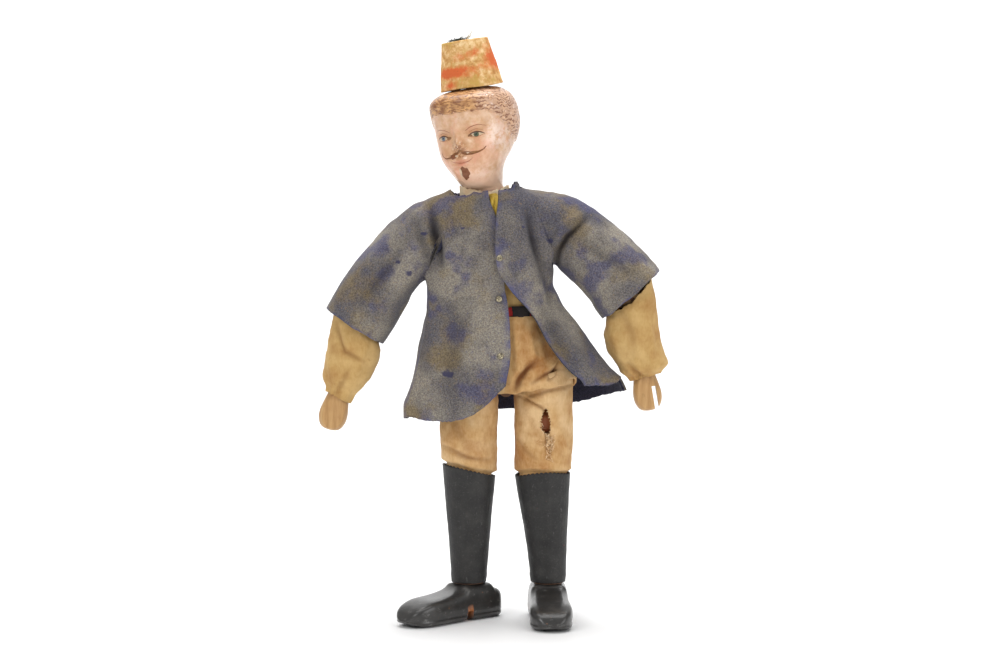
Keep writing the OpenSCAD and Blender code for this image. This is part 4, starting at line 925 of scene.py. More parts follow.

# %% [markdown]
# ### The head's paint
# Old oil paint is glossy, crazed and rubbed. The tan of the skin is laid first. Then each mark of the
# grid brings in its own colour: blush; painted highlights, where the paint is also rubbed paler; painted
# light on the neck under the chin; painted shadows; the lips; and the brown wood where the paint is worn.
# The blush, the highlights and the wear are broken by noise, so that they aren't clean airbrushed patches.
# The hair is a layer of wavy brown and tan lines over all of it, with a ragged edge, and it is duller than
# the skin. On the doll's left its locks are lighter, as rubbed paint and painted highlight, with painted
# glints.

# %% Paint of the head


def skin_finish():
    """Glossy oil paint, crazed and rubbed: tan above, pinker below, with painted highlights, painted light
    and painted shadows, and dull wavy hair.
    """
    f = Finish("face_paint", 0.22, 0.5, coat=0.35)
    skin = f.ramp(f.noise(210, 5, 0.65), (0.36, srgb(192, 146, 104)), (0.5, srgb(206, 162, 122)),
                  (0.62, srgb(220, 182, 148)))
    rosy = f.plus(f.times(f.value("blush"), 0.8), f.step(f.noise(240, 4, turn=(0.3, 2, 1)), 0.42, 0.7))
    skin = f.mix(f.times(rosy, 0.42), skin, srgb(220, 152, 126))
    # Painted highlight where the pale mark is, over paint that is also rubbed paler there
    light = f.times(f.value("pale"), f.step(f.noise(330, 5, 0.7, turn=(1, 1, 0)), 0.38, 0.58))
    skin = f.mix(f.times(light, 0.8), skin, srgb(242, 222, 210))
    # Painted light on the neck under the chin, where shade falls
    skin = f.mix(f.times(f.value("under"), 0.6), skin, srgb(248, 216, 194))
    skin = f.mix(f.times(f.value("shadow"), 0.45), skin, srgb(176, 116, 72))
    skin = f.mix(f.times(f.value("lip"), 0.6), skin, srgb(206, 126, 104))
    worn = f.times(f.value("worn"), f.step(f.noise(700, 5, 0.75), 0.44, 0.56))
    skin = f.mix(f.times(worn, 0.9), skin, srgb(140, 86, 48))
    pits = f.times(f.value("worn"), f.step(f.noise(1100, 3, 0.7, turn=(1, 0, 2)), 0.58, 0.66))
    skin = f.mix(pits, skin, srgb(232, 210, 182))
    grime = f.step(f.noise(520, 5, 0.7, turn=(2, 1, 0)), 0.6, 0.74)
    skin = f.mix(f.times(grime, 0.35), skin, srgb(156, 104, 72))
    wavy = {"Vector": f.coordinates, "Scale": 250.0, "Distortion": 21.0, "Detail": 3.0,
            "Detail Scale": 0.5, "Detail Roughness": 0.66}
    waves = f.node("TexWave", 1, wavy, bands_direction="Z")
    lines = f.times(f.step(waves, 0.5, 0.2), f.step(f.noise(420, 4, 0.7, turn=(0, 1, 0)), 0.4, 0.54))
    front_hair = f.ramp(f.noise(300, 4, 0.6), (0.38, srgb(142, 90, 44)), (0.6, srgb(208, 156, 98)))
    # The locks on the doll's left side are lighter: rubbed paint and painted highlight
    locks = f.mix(f.times(f.value("side"), 0.6), front_hair, srgb(214, 176, 152))
    # Painted glints: pale flecks on the hair of that side
    painted_glints = f.times(f.step(f.noise(680, 4, 0.7, turn=(1, 3, 0)), 0.55, 0.66), f.value("side"))
    locks = f.mix(f.times(painted_glints, 0.7), locks, srgb(240, 218, 202))
    locks = f.mix(f.times(lines, 0.85), locks, srgb(118, 66, 34))
    rag = f.plus(f.value("hair"), f.times(f.minus(f.noise(900, 4, 0.7), 0.5), 3.4))
    mask = f.step(rag, -0.2, 0.5)
    f.bump(f.times(waves, mask), 0.35, 0.0004)
    f.bump(f.noise(520, 4), 0.25, 0.0003)
    f.put(f.shader.inputs["Roughness"], f.plus(f.times(mask, 0.22), 0.22))
    return f.color(f.mix(mask, skin, locks))


face_paint = skin_finish()
painted_head = make_mesh("painted_head", to_world(head, local.reshape(-1, 3)),
                         quads(*local.shape[:2], True), face_paint, "head", ("head",),
                         head_values)
print("painted head:", len(painted_head.data.polygons), "faces")

# %% [markdown]
# ### Painted features
# The eyes, brows, moustache and goatee are brush marks. Each mark is a thin skin that follows the face:
# a stroke runs along a line with a changing width, and a spot spreads from its middle to an outline.
# A mark stands out by less than a tenth of a millimetre, and its rim sinks into the face.

# %% How a brush mark is made
mark_sink = 0.04


def paint(name, color, rough=0.35, vary=0.25):
    """A plain oil paint that varies a little between its colour and a darker one."""
    f = Finish(name, rough, 0.4)
    dark = tuple(c * (1 - vary) for c in color)
    f.bump(f.noise(1800, 3), 0.2, 0.0001)
    return f.color(f.ramp(f.noise(900, 4, 0.7), (0.35, dark), (0.62, color)))


def stroke(name, path, widths, material, lift=0.07):
    """A line through points of the face, with a width at each; its cross-section is a low arch."""
    path, at = np.array(path, float), np.linspace(0, 1, len(path))
    along, across = np.linspace(0, 1, 70), np.linspace(-1, 1, 9)
    x, h = smooth(np.c_[at, path[:, 0]], along), smooth(np.c_[at, path[:, 1]], along)
    wide = smooth(np.c_[at, widths], along) / 2
    step = np.hypot(np.gradient(x), np.gradient(h))
    nx, nh = np.gradient(h) / step, -np.gradient(x) / step
    arch = (lift + mark_sink) * (1 - across[None, :] ** 2) - mark_sink
    x = x[:, None] + (nx * wide)[:, None] * across
    h = h[:, None] + (nh * wide)[:, None] * across
    points = face_point(x, h, arch)
    faces = quads(*points.shape[:2], False)[:, ::-1]
    return make_mesh(name, points.reshape(-1, 3), faces, material, "head")


def spot(name, middle, outline, material, lift=0.07, seed=None):
    """A filled mark: rings from its middle to an outline given as reach at each turn."""
    turn, share = grid(np.linspace(0, 2 * np.pi, 48, endpoint=False), np.linspace(0.02, 1, 10))
    reach_x, reach_h = outline(turn)
    if seed is not None:
        ragged = 1 + 0.12 * np.sin(3 * turn + seed) + 0.08 * np.sin(7 * turn + 2 * seed)
        reach_x, reach_h = reach_x * ragged, reach_h * ragged
    x, h = middle[0] + reach_x * share, middle[1] + reach_h * share
    points = face_point(x, h, (lift + mark_sink) * (1 - share**4) - mark_sink)
    faces = quads(*points.shape[:2], True)
    return make_mesh(name, points.reshape(-1, 3), faces, material, "head")


def almond(wide, high, low):
    """An eye's outline: a cosine across, and up or down a sine to a power, for pointed corners."""

    def outline(turn):
        up = np.sin(turn)
        return wide * np.cos(turn), np.where(up > 0, high, low) * np.abs(up) ** 1.4 * np.sign(up)

    return outline


def oval(wide, high):
    """An outline whose reach across goes with the cosine, and up with the sine."""
    return lambda turn: (wide * np.cos(turn), high * np.sin(turn))


print("a mark's rim sinks", mark_sink, "mm into the face")

# %% Paints and marks
brown = paint("brow_paint", srgb(158, 100, 64), vary=0.35)
dark_brown = paint("lash_paint", srgb(92, 60, 42))
moustache_brown = paint("moustache_paint", srgb(140, 88, 48), vary=0.5)
white = paint("eye_white_paint", srgb(208, 184, 152))
iris_blue = paint("iris_paint", srgb(112, 120, 130))
iris_green = paint("iris_green_paint", srgb(78, 88, 66))
black = paint("pupil_paint", srgb(34, 32, 32))
red = paint("lip_paint", srgb(158, 84, 64))
smudge = paint("worn_paint", srgb(150, 104, 62), vary=0.4)
goatee_brown = paint("goatee_paint", srgb(128, 76, 46), vary=0.3)
chip = paint("bare_gesso", srgb(216, 190, 160), rough=0.8)
for s, eye_x, iris in ((RIGHT, -6.6, iris_blue), (LEFT, 6.7, iris_green)):
    side = SIDE[s]
    spot(f"eye_white_{side}", (eye_x, 21.95), almond(2.5, 0.85, 0.7), white, 0.05)
    spot(f"eye_iris_{side}", (eye_x + 0.1, 22.0), oval(1.2, 0.9), iris, 0.09)
    spot(f"eye_pupil_{side}", (eye_x + 0.1, 22.1), oval(0.48, 0.42), black, 0.12)
    lid = [(eye_x - 2.8, 21.8), (eye_x - 1.5, 22.6), (eye_x, 22.9), (eye_x + 1.5, 22.6), (eye_x + 2.8, 21.8)]
    stroke(f"eye_lid_{side}", lid, [0.15, 0.5, 0.62, 0.5, 0.15], dark_brown, 0.14)
    low_lid = [(eye_x - 2.3, 21.6), (eye_x, 21.1), (eye_x + 2.3, 21.6)]
    stroke(f"eye_lid_low_{side}", low_lid, [0.1, 0.24, 0.1], brown)
    above = [(eye_x - 2.4, 23.1), (eye_x, 23.9), (eye_x + 2.4, 23.1)]
    stroke(f"eye_fold_{side}", above, [0.1, 0.24, 0.1], brown, 0.05)
    stroke(f"brow_{side}", [(s * 3.2, 23.8), (s * 5.4, 24.9), (s * 7.8, 25.3), (s * 10.2, 24.5)],
           [0.25, 0.36, 0.3, 0.12], brown, 0.07)
spot("eye_corner_worn_right", (-3.9, 21.9), oval(1.2, 0.7), smudge, 0.1, 0.7)
spot("eye_corner_worn_left", (4.6, 21.9), oval(1.0, 0.5), smudge, 0.1, 2.7)
whiskers_right = [(-8.2, 16.9), (-7.6, 15.7), (-6.0, 14.8), (-4.0, 14.9), (-2.0, 15.9), (-0.4, 16.3)]
whiskers_left = [(9.4, 17.4), (8.6, 16.5), (6.8, 15.8), (4.6, 15.6), (2.4, 16.0), (0.8, 16.2)]
stroke("moustache_right", whiskers_right, [0.25, 0.4, 0.5, 0.8, 1.5, 0.8], moustache_brown, 0.12)
stroke("moustache_left", whiskers_left, [0.25, 0.45, 0.8, 1.3, 1.7, 0.8], moustache_brown, 0.12)
spot("moustache_blot_right", (-2.7, 15.2), oval(1.5, 0.9), goatee_brown, 0.15, 1.1)
spot("moustache_blot_middle", (0.3, 16.9), oval(1.0, 0.6), smudge, 0.15, 2.2)
spot("moustache_rub_left", (5.4, 15.9), oval(1.7, 0.42), smudge, 0.17, 0.5)
mouth = [(-4.0, 13.7), (-2.0, 12.9), (0.4, 12.6), (2.8, 12.9), (4.9, 14.0)]
stroke("mouth_line", mouth, [0.12, 0.3, 0.34, 0.3, 0.12], red, 0.06)
spot("goatee_mark", (0.6, 8.9), oval(1.7, 2.6), goatee_brown, 0.1, 1.3)
spot("goatee_chip", (-1.0, 9.2), oval(0.5, 1.7), chip, 0.13, 0.4)
spot("moustache_chip", (-1.4, 15.3), oval(0.7, 0.35), chip, 0.19, 2.1)
spot("moustache_chip_left", (3.2, 15.9), oval(0.7, 0.28), chip, 0.2, 0.9)
print("brush marks painted")

# %% [markdown]
# ## The fez
# A cone of wood with a cloth cover, worn to a cream and ochre weave. A red band runs round it, rubbed
# away in places. The cover is one skin: it starts under the cone, climbs the side and closes on the top.
# The band is a number on the skin, which its cloth turns red where noise hasn't rubbed it away.

# %% Fez cover
fez_foot_r, fez_top_r, fez_h, fez_z = 11.5, 8.4, 17.0, crown + 0.12
fez_shift = 0.8


def fez_finish():
    """Cream and ochre weave with a rubbed red band and brown spots."""
    f = Finish("fez_cloth", 0.85, 0.2)
    base = f.ramp(f.noise(420, 5, 0.7), (0.34, srgb(184, 128, 72)), (0.5, srgb(214, 168, 106)),
                  (0.64, srgb(240, 208, 158)))
    green = f.mix(f.step(f.noise(110, 3, 0.5, turn=(0.4, 0, 1.2)), 0.52, 0.7), base, srgb(196, 160, 86))
    rub = f.plus(f.value("band"), f.times(f.minus(f.noise(260, 5, 0.75), 0.5), 1.6))
    strong = f.mix(f.step(rub, 0.42, 0.75), green, srgb(206, 84, 48))
    soft = f.mix(f.times(f.step(rub, 0.1, 0.5), 0.55), strong, srgb(216, 120, 66))
    brown = f.step(f.noise(700, 4, 0.7, turn=(0, 1, 0)), 0.6, 0.7)
    soft = f.mix(f.times(brown, 0.5), soft, srgb(150, 92, 52))
    weave(f, 0.0005, 0.6, 0.00014)
    f.bump(f.noise(300, 4), 0.3, 0.0004)
    return f.color(soft)


fez_cloth = fez_finish()
turn, share = grid(np.linspace(0, 2 * np.pi, 160, endpoint=False), np.linspace(0, 1, 60))
r = fez_foot_r + (fez_top_r - fez_foot_r) * share + 0.12 * np.sin(5 * turn + 1) * share
z = fez_h * share + 0.15 * np.sin(3 * turn) * (1 - share)
side = np.stack([r * np.cos(turn), r * np.sin(turn), z], -1)
side = side + skin_normals(side, True) * (0.12 * wave_noise(side, 6, 71))[..., None]
rings = [side]
for k, scale in enumerate((0.985, 0.94, 0.8, 0.6, 0.4, 0.2, 0.02)):
    ring = side[-1:] * [scale, scale, 1] + [0, 0, 0.16 * min(k + 1, 2) - 0.1]
    rings.append(ring + np.array([0, 0, 1]) * 0.1 * wave_noise(ring, 5, 72)[..., None])
under = [side[:1] * [scale, scale, 1] for scale in (0.4, 0.7, 0.96)]
cover = np.concatenate(under + rings)
cover = cover + np.array([fez_shift, 0, 0])
a = np.arctan2(cover[..., 1], cover[..., 0])
z = cover[..., 2] / fez_h
# The band dips in front and climbs on the fez's left side
middle = 0.36 + 0.2 * ease(np.cos(a - 0.2), 0.55, 0.95)
wide = 0.12 + 0.13 * ease(np.cos(a - 0.2), 0.6, 1)
strong = np.exp(-(((a + 1.75) / 0.72) ** 2)) + 0.95 * np.exp(-(((a - 0.25) / 0.5) ** 2)) + 0.2
band = np.exp(-(((z - middle) / wide) ** 2)) * strong
# A dab of red beside the band: its turn, its share of the height and its strength
for dab_a, dab_z, dab in ((-1.7, 0.1, 0.7), (-1.35, 0.66, 0.5), (-0.75, 0.7, 0.45), (2.6, 0.4, 0.6)):
    band = np.maximum(band, dab * np.exp(-(((z - dab_z) / 0.1) ** 2) - ((a - dab_a) / 0.35) ** 2))
fez = make_mesh("fez_cloth_cover", to_world(head, (cover + [0, 0, fez_z]).reshape(-1, 3)),
                quads(*cover.shape[:2], True), fez_cloth, "head", ("fez_cover",),
                {"band": band})
keep_cut(side, quads(*side.shape[:2], True), True)

# %% [markdown]
# ### The tuft and other threads
# A thread is a thin four-sided tube along a curve that starts straight and then bends. Its faces are few,
# because there are hundreds of threads: the tuft on the fez and the frayed edges of the torn trousers.

# %% Threads


def threads(name, starts, directions, lengths, radius, material, body, replaced=(),
            droop=0.3, seed=1):
    """Each thread: its start, plus its direction times t and its bend times t squared, times its length."""
    rng = np.random.default_rng(seed)
    count = len(starts)
    rows, sides = 7, 4
    t = np.linspace(0, 1, rows)[None, :, None]
    bend = rng.normal(size=(count, 1, 3)) * 0.35
    curve = directions[:, None] * t + (bend + [0, 0, -droop]) * t**2
    line = starts[:, None] + curve * lengths[:, None, None]
    ring = np.array([[1, 0, 0], [0, 1, 0], [-1, 0, 0], [0, -1, 0]]) + np.array([[0, 0, 0.3]])
    taper = radius * (1 - 0.75 * t[..., None] ** 2)
    points = line[:, :, None] + ring[None, None] * taper
    first = np.arange(count) * rows * sides
    faces = (quads(rows, sides, True)[None] + first[:, None, None]).reshape(-1, 4)
    return make_mesh(name, points.reshape(-1, 3), faces, material, body, replaced)


def thread_finish(name, dark, pale):
    """Dull thread in two tones."""
    f = Finish(name, 0.8, 0.2)
    f.bump(f.noise(2500, 3), 0.4, 0.0001)
    return f.color(f.ramp(f.noise(1400, 3), (0.35, dark), (0.65, pale)))


tuft_count = 150
rng = np.random.default_rng(7)
spots = rng.normal(size=(tuft_count, 3)) * [1.5, 1.0, 0.0] + [-0.9, -1.5, fez_z + fez_h + 0.4]
ways = rng.normal(size=(tuft_count, 3)) * [1.0, 0.8, 0.2] + [-0.1, 0, 0.7]
lengths = rng.uniform(1.3, 2.6, tuft_count)
tuft_wool = thread_finish("tuft_wool", srgb(48, 56, 54), srgb(98, 106, 98))
threads("fez_thread_tuft", to_world(head, spots), ways @ head[0].T, lengths, 0.12, tuft_wool, "head",
        ("fez_tuft",), 0.5, 3)
loose_wool = thread_finish("loose_thread", srgb(150, 140, 104), srgb(196, 184, 140))
spots = np.array([[2.6, -0.6, 0.3], [2.3, -0.9, 0.3], [1.8, -1.2, 0.3]]) + [0, 0, fez_z + fez_h]
ways = np.array([[0.9, 0.0, 0.95], [0.6, -0.2, 0.8], [1.0, -0.3, 0.5]])
lengths = np.array([4.2, 3.0, 2.4])
threads("fez_loose_thread", to_world(head, spots), ways @ head[0].T, lengths, 0.14, loose_wool, "head",
        (), 0.0, 5)
print("threads on the fez:", tuft_count + len(lengths))

# %% [markdown]
# ## Shirt, collar, ribbon and belt
# Only a little of the shirt shows, in the coat's open neck and below it. Its collar is a worn strip of
# cotton round the neck. A yellow ribbon hangs in the open neck, and a red belt with a black tab holds
# the trousers up. Most of this cloth is a closed tube, and one function makes every tube.

# %% A tube of cloth
cotton_t = 0.7


def tube(name, point_at, columns, rows, material, body, replaced, thickness, fold_lines=(),
         rough=0.0, seed=1, keep=None, modify=None):
    """A closed tube from a function of a turn and a share; folds and unevenness are added."""
    turn, share = grid(np.linspace(0, 2 * np.pi, columns, endpoint=False), np.linspace(0, 1, rows))
    points = point_at(turn, share)
    if modify:
        points = modify(points)
    points, dark = fold(points, fold_lines, True)
    points = points + skin_normals(points, True) * (rough * wave_noise(points, 12, seed))[..., None]
    cells = None if keep is None else keep(points)
    faces = quads(rows, columns, True, cells)
    # The painted shade of the folds goes to the cotton's material
    crease_shade = {"fold": np.minimum(1.5 * dark, 1)}
    obj = make_mesh(name, points.reshape(-1, 3), faces, material, body, replaced, crease_shade)
    thicken(obj, thickness)
    keep_cut(points, faces, True)
    return obj


print("cotton", cotton_t, "mm thick")

# %% Collar and ribbon
collar_z = 66.35


def collar_at(turn, share):
    """A strip round the neck, ragged at its top and dipping under the chin."""
    ragged = 0.5 * np.sin(9 * turn) + 0.4 * np.sin(17 * turn + 1) + 0.3 * np.sin(31 * turn + 2)
    dip = 1.3 * np.exp(-(((turn - 1.5 * np.pi) / 0.7) ** 2))
    r = 8.95 - 0.7 * share + 1.2 * ease(-np.cos(turn), 0.1, 0.9)
    r = r + 0.22 * np.sin(7 * turn) * share + 0.12 * np.sin(13 * turn + 4 * share)
    z = collar_z - 2.2 + share * (5.4 - dip + 0.45 * ragged + 1.4 * ease(-np.cos(turn), 0, 0.8))
    return to_world(torso, np.stack([r * np.cos(turn), r * np.sin(turn), z], -1))


collar = tube("cotton_collar", collar_at, 240, 24, collar_cotton, "torso", ("shirt_collar",),
              0.5, (), 0.15, 81)
u, v = grid(np.linspace(0, 1, 12), np.linspace(0, 1, 60))
# The ribbon comes from under the collar and turns down over the chest
path_y = smooth([[0, -8.0], [0.25, -9.6], [0.45, -12.2], [0.7, -12.9], [0.85, -13.0], [1, -12.4]], v)
path_z = smooth([[0, 67.4], [0.25, 66.6], [0.45, 65.0], [0.7, 62.2], [0.85, 60.2], [1, 59.0]], v)
points = np.stack([0.7 + 3.0 * u + 0.5 * np.sin(5 * v), path_y + 0.35 * np.sin(9 * u + 4 * v), path_z], -1)
ribbon_silk = cotton_finish("ribbon_silk", srgb(224, 196, 96), srgb(196, 164, 62), srgb(150, 118, 40),
                            0.00028, 0.4)
faces = quads(*points.shape[:2], False)
ribbon = make_mesh("neck_ribbon_silk", to_world(torso, points.reshape(-1, 3)), faces, ribbon_silk,
                   "torso", ("neck_ribbon",))
keep_cut(points, faces, False)
thicken(ribbon, 0.3)

# %% Shirt and belt
waist_rise, shirt_h, belt_w = 23.0, 33.0, 3.3
waist_z = hip_height + waist_rise


def body_round(turn, z, wide, deep):
    """An oval with squarer corners round the body's leaning middle line: cos and sin to the power 0.8."""
    x = axis_x(z) + wide * powered(np.cos(turn), 0.8)
    y = body_y + deep * powered(np.sin(turn), 0.8)
    return np.stack([x, y, z + 0 * turn], -1)


def shirt_at(turn, share):
    """The shirt's body, wider towards the shoulders and wavy all round."""
    z = waist_z + 2.2 + shirt_h * share
    wide = smooth([[0, 12.6], [0.25, 13.2], [0.5, 14.4], [0.75, 15.9], [1, 16.2]], share)
    return body_round(turn, z, wide + 0.25 * np.cos(9 * turn), 12.2 + 0.2 * np.cos(7 * turn + 3 * share))


shirt = tube("cotton_shirt", shirt_at, 120, 60, shirt_cotton, "torso", ("shirt_body",),
             0.5, (), 0.25, 83)


def belt_at(turn, share):
    """A narrow band that bulges in the middle of its width."""
    z = waist_z + 0.4 + belt_w * share + 0.15 * np.sin(4 * turn)
    return body_round(turn, z, 14.2 + 0.35 * np.sin(np.pi * share), 12.5 + 0.35 * np.sin(np.pi * share))


belt_cloth = cotton_finish("belt_cloth", srgb(196, 58, 52), srgb(166, 38, 36), srgb(110, 26, 26),
                           0.0003, 0.3)
belt = tube("red_cotton_belt", belt_at, 160, 10, belt_cloth, "torso", ("belt_red",), 0.5,
            (), 0.12, 85)
# The tab is a short stretch of the belt's own surface, bowed out in front of it
tab_columns = 40
tab_turn, share = grid(np.linspace(4.98, 5.52, tab_columns), np.linspace(0, 1, 14))
points = belt_at(tab_turn, -0.1 + 1.2 * share)
points[..., 1] -= 0.55 * np.sin(np.pi * np.linspace(0.15, 0.85, tab_columns))
faces = quads(*points.shape[:2], False)
belt_tab = cotton_finish("belt_tab", srgb(58, 52, 48), srgb(40, 36, 36), srgb(26, 24, 24), 0.0003, 0.3)
tab = make_mesh("black_belt_tab", points.reshape(-1, 3), faces, belt_tab, "torso",
                ("belt_tab_black",))
keep_cut(points, faces, False)
thicken(tab, 0.5)

# %% [markdown]
# ### Studs
# Three small pressed studs close the coat. Each is a lathe shape: a half outline from the middle of its
# dished face, over its rim and down to its foot in the felt, carried once round.

# %% Studs


def stud_finish():
    """Worn white metal with dark and light patches."""
    f = Finish("stud_metal", 0.35, 0.5)
    f.shader.inputs["Metallic"].default_value = 1.0
    f.bump(f.noise(1500, 4), 0.3, 0.0002)
    return f.color(f.ramp(f.noise(900, 4, 0.7), (0.35, srgb(112, 104, 90)), (0.6, srgb(188, 178, 150))))


# Rows: distance from the stud's middle, and how far it stands out of the felt
profile = np.array([[0.02, 0.42], [0.25, 0.44], [0.42, 0.5], [0.55, 0.78], [0.75, 0.9], [0.95, 0.82],
                    [1.12, 0.55], [1.18, 0.25], [1.15, -0.2]])
turn = np.linspace(0, 2 * np.pi, 28, endpoint=False)
stud_faces = quads(len(profile), len(turn), True)
parts, faces = [], []
# Each stud: its share of the coat's height and of its half width
for i, (share, at) in enumerate(((0.71, 0.1), (0.534, 0.03), (0.29, -0.04))):
    z, x = coat_hem + coat_h * share, coat_half_w * at
    wide, deep = coat_size(np.array(z), x < 0, True)
    y = body_y - deep * (1 - abs(x / wide) ** coat_square) ** (1 / coat_square) - (1.9 if i == 0 else 0.1)
    x = x + axis_x(z)
    across, up = profile[:, :1] * np.cos(turn), profile[:, :1] * np.sin(turn)
    ring = np.stack([x + across, y - profile[:, 1:] + 0 * turn, z + up], -1)
    parts.append(ring.reshape(-1, 3))
    faces.append(stud_faces + i * len(profile) * len(turn))
make_mesh("coat_metal_studs", np.concatenate(parts), np.concatenate(faces), stud_finish(), "torso",
          ("coat_studs",))
print("studs:", len(parts))

# %% [markdown]
# ## Trousers
# The seat of the trousers hangs from the belt like a short skirt, and each leg is a tube of cotton. The
# seat lies over the legs: its skin moves out along its own normals, by as much as a walk to the smooth
# minimum of the seat's and the legs' fields asks. The left leg has a tear that shows the wooden thigh.

# %% Fields of the seat and the legs
leg_top_r, leg_knee_r = 10.8, 10.2
seat_low, seat_table_low = 84.6, 85.4
# Rows: share of the height from the seat's lower edge to the waist, and of the half width
seat_widths = [[0, 1.5], [0.1, 1.56], [0.3, 1.57], [0.6, 1.39], [1, 1.04]]


def seat_size(z):
    """The seat's half width and depth at a height."""
    share = (z - seat_table_low) / (waist_z - seat_table_low)
    return 15.5 * smooth(seat_widths, share), 13.2 - 0.5 * ease(share, 0.5, 1)


def seat_field(p):
    """About how far a point is outside the seat's oval."""
    wide, deep = seat_size(p[..., 2])
    x, y = p[..., 0] - axis_x(p[..., 2]), p[..., 1] - body_y
    r = np.hypot(x / wide, y / deep)
    return (r - 1) * np.hypot(x, y) / np.maximum(r, 0.05)


def leg_reach(s, z):
    """A leg's radius at a height in its hip's frame: a cone below the hip and a dome above it."""
    knee = leg_knee_r * (1.03 if s == LEFT else 1)
    cone = knee + (leg_top_r - knee) * (1 + z / thigh_len)
    dome = np.sqrt(np.maximum(leg_top_r**2 - z * z, 0.01))
    return np.where(z < 0, cone, dome)


def leg_field(s, p):
    """About how far a point is outside a leg, which ends just above the hip."""
    q = p - hip_at[s]
    z = q[..., 2]
    side = np.hypot(q[..., 0], q[..., 1]) - leg_reach(s, np.clip(z, -40, 10.7))
    return side + np.clip(z - 9, 0, None)


def both_legs(p):
    """The field of the two legs together."""
    return np.minimum(leg_field(RIGHT, p), leg_field(LEFT, p))


print("seat from", seat_low, "to", waist_z, "mm high")

# %% The seat's shape


def joined(a, b, blend):
    """The smaller of two fields, with a rounded valley of the given width where they cross."""
    h = np.clip(blend - np.abs(a - b), 0, None) / blend
    return np.minimum(a, b) - h * h * blend / 4


def walk_to(points, field, steps=7, reach=0.12):
    """Newton's steps along a field's slope to where the field is 0."""
    p = points.copy()
    for _ in range(steps):
        here = field(p)
        slope = np.stack([(field(p + reach * axis) - here) / reach for axis in np.eye(3)], -1)
        size = np.maximum((slope**2).sum(-1), 0.2)
        p -= (here / size)[..., None] * slope * 0.9
    return p


def seat_at(turn, share):
    """The seat's lower edge is lowest at the crotch and rises over the left thigh in front."""
    off = np.mod(turn - 5.95 + np.pi, 2 * np.pi) - np.pi
    rise = 3.8 * np.exp(-((off / 0.5) ** 2)) + 0.25 * np.sin(11 * turn) + 0.2 * np.sin(23 * turn)
    rise = rise - 1.2 * np.exp(-((np.cos(turn) / 0.2) ** 2))
    z = seat_low + rise + (waist_z + 0.4 - seat_low - rise) * share
    wide, deep = seat_size(z)
    return np.stack([axis_x(z) + wide * np.cos(turn), body_y + deep * np.sin(turn), z], -1)


def with_legs(p):
    """Moves the seat out along its own normals to lie over the legs."""
    n = skin_normals(p, True)
    moved = walk_to(p, lambda q: joined(seat_field(q), both_legs(q), 5) - 0.5) - p
    return p + n * np.clip((moved * n).sum(-1), -1, 4)[..., None]


print("half width and depth of the seat at the hips:", seat_size(hip_height))

# %% Creases and the tear
# A crease: its path of x and z, its width, how far it stands out, and whether it is in front
seat_folds = [
    ([(8.2, 85.2), (9.6, 89), (12.5, 92.5), (16, 95.5)], 1.2, -2.2, True),
    ([(9.4, 84.8), (13, 87.2), (18, 90), (23, 96)], 1.3, 1.2, True),
    ([(14.2, 87.5), (19, 90.5), (24.4, 92.5)], 1.0, -1.6, True),
    ([(20.3, 88.6), (22.6, 91), (23.6, 94.4)], 0.9, -1.8, True),
    ([(8, 110), (8.6, 100), (9.8, 90)], 1.3, 0.7, True),
    ([(13.2, 106), (14.6, 99), (16.4, 93)], 1.2, 0.8, True),
    ([(17, 108), (19.6, 100), (21, 95)], 1.6, -0.6, True),
    ([(-5, 100), (0, 94), (5, 88)], 1.6, -0.9, True),
    ([(-12, 98), (-14, 90), (-16, 86)], 2.0, -0.9, False),
    ([(3, 106), (4, 96), (5, 87)], 1.8, -1.2, False),
    ([(16, 98), (20, 90), (24, 86)], 2.0, -0.9, False),
]
leg_folds = {
    RIGHT: [
        ([(-17.5, 64), (-10, 60.5), (-1, 58.8)], 0.9, -1.0, True),
        ([(-16, 78), (-13, 70), (-9, 64)], 1.8, -0.5, True),
        ([(-17, 62.4), (-9, 59.2), (-2, 60.4)], 1.3, 0.5, True),
        ([(-15, 76), (-8, 68), (-2, 62)], 2.4, -0.8, False),
    ],
    LEFT: [
        ([(9.4, 82.4), (13.4, 80.6), (18.2, 77.8), (20.2, 72.6)], 0.7, -0.9, True),
        ([(10.2, 83.2), (14.2, 81.6), (19.2, 79)], 0.9, 0.7, True),
        ([(11.6, 82), (20, 84.6), (28, 86)], 0.9, -0.7, True),
        ([(23.6, 72), (25.6, 67), (27.4, 61.8)], 1.2, 0.6, True),
        ([(9, 66), (12, 62), (15.4, 59.4)], 1.2, -0.6, True),
        ([(19.6, 70), (20.3, 65), (20.7, 60)], 0.55, -1.2, True),
        ([(10, 76), (18, 68), (26, 62)], 2.4, -0.8, False),
    ],
}
# The tear: rows of a height, the place across and the half width of the opening
tear = [[78.2, 19.2, 0.3], [75.6, 18.9, 1.1], [73.0, 18.9, 1.7], [71.0, 19.1, 1.7],
        [69.4, 19.5, 1.0], [68.2, 19.8, 0.3], [67.0, 20.0, 0.1]]


def tear_open(points):
    """Cells of the left leg's grid that stay: those outside a ragged slit."""
    rows = np.array(tear)[::-1]
    x, z = points[..., 0], points[..., 2]
    ragged = 0.35 * np.sin(6.1 * z) + 0.25 * np.sin(11.3 * z + 1)
    gap = np.abs(x - smooth(rows[:, [0, 1]], z)) - smooth(rows[:, [0, 2]], z) - ragged * 0.6
    out = (gap > 0) | (z > 78.3) | (z < 66.8) | (points[..., 1] > body_y)
    return out[1:]


print("creases:", len(seat_folds) + len(leg_folds[RIGHT]) + len(leg_folds[LEFT]))

# %% Trouser seat and legs
# How far each leg's gathered end goes down into the boot, below the knee
tuck_len = 5.6


def boot_rise(s, turn):
    """How much higher a boot's top edge is at a turn: a slant on the right, an arch on the left."""
    if s == RIGHT:
        return -2.2 * np.cos(turn) - 0.9 * np.sin(turn)
    return 0.8 * (np.cos(2 * turn + np.pi) - 1)


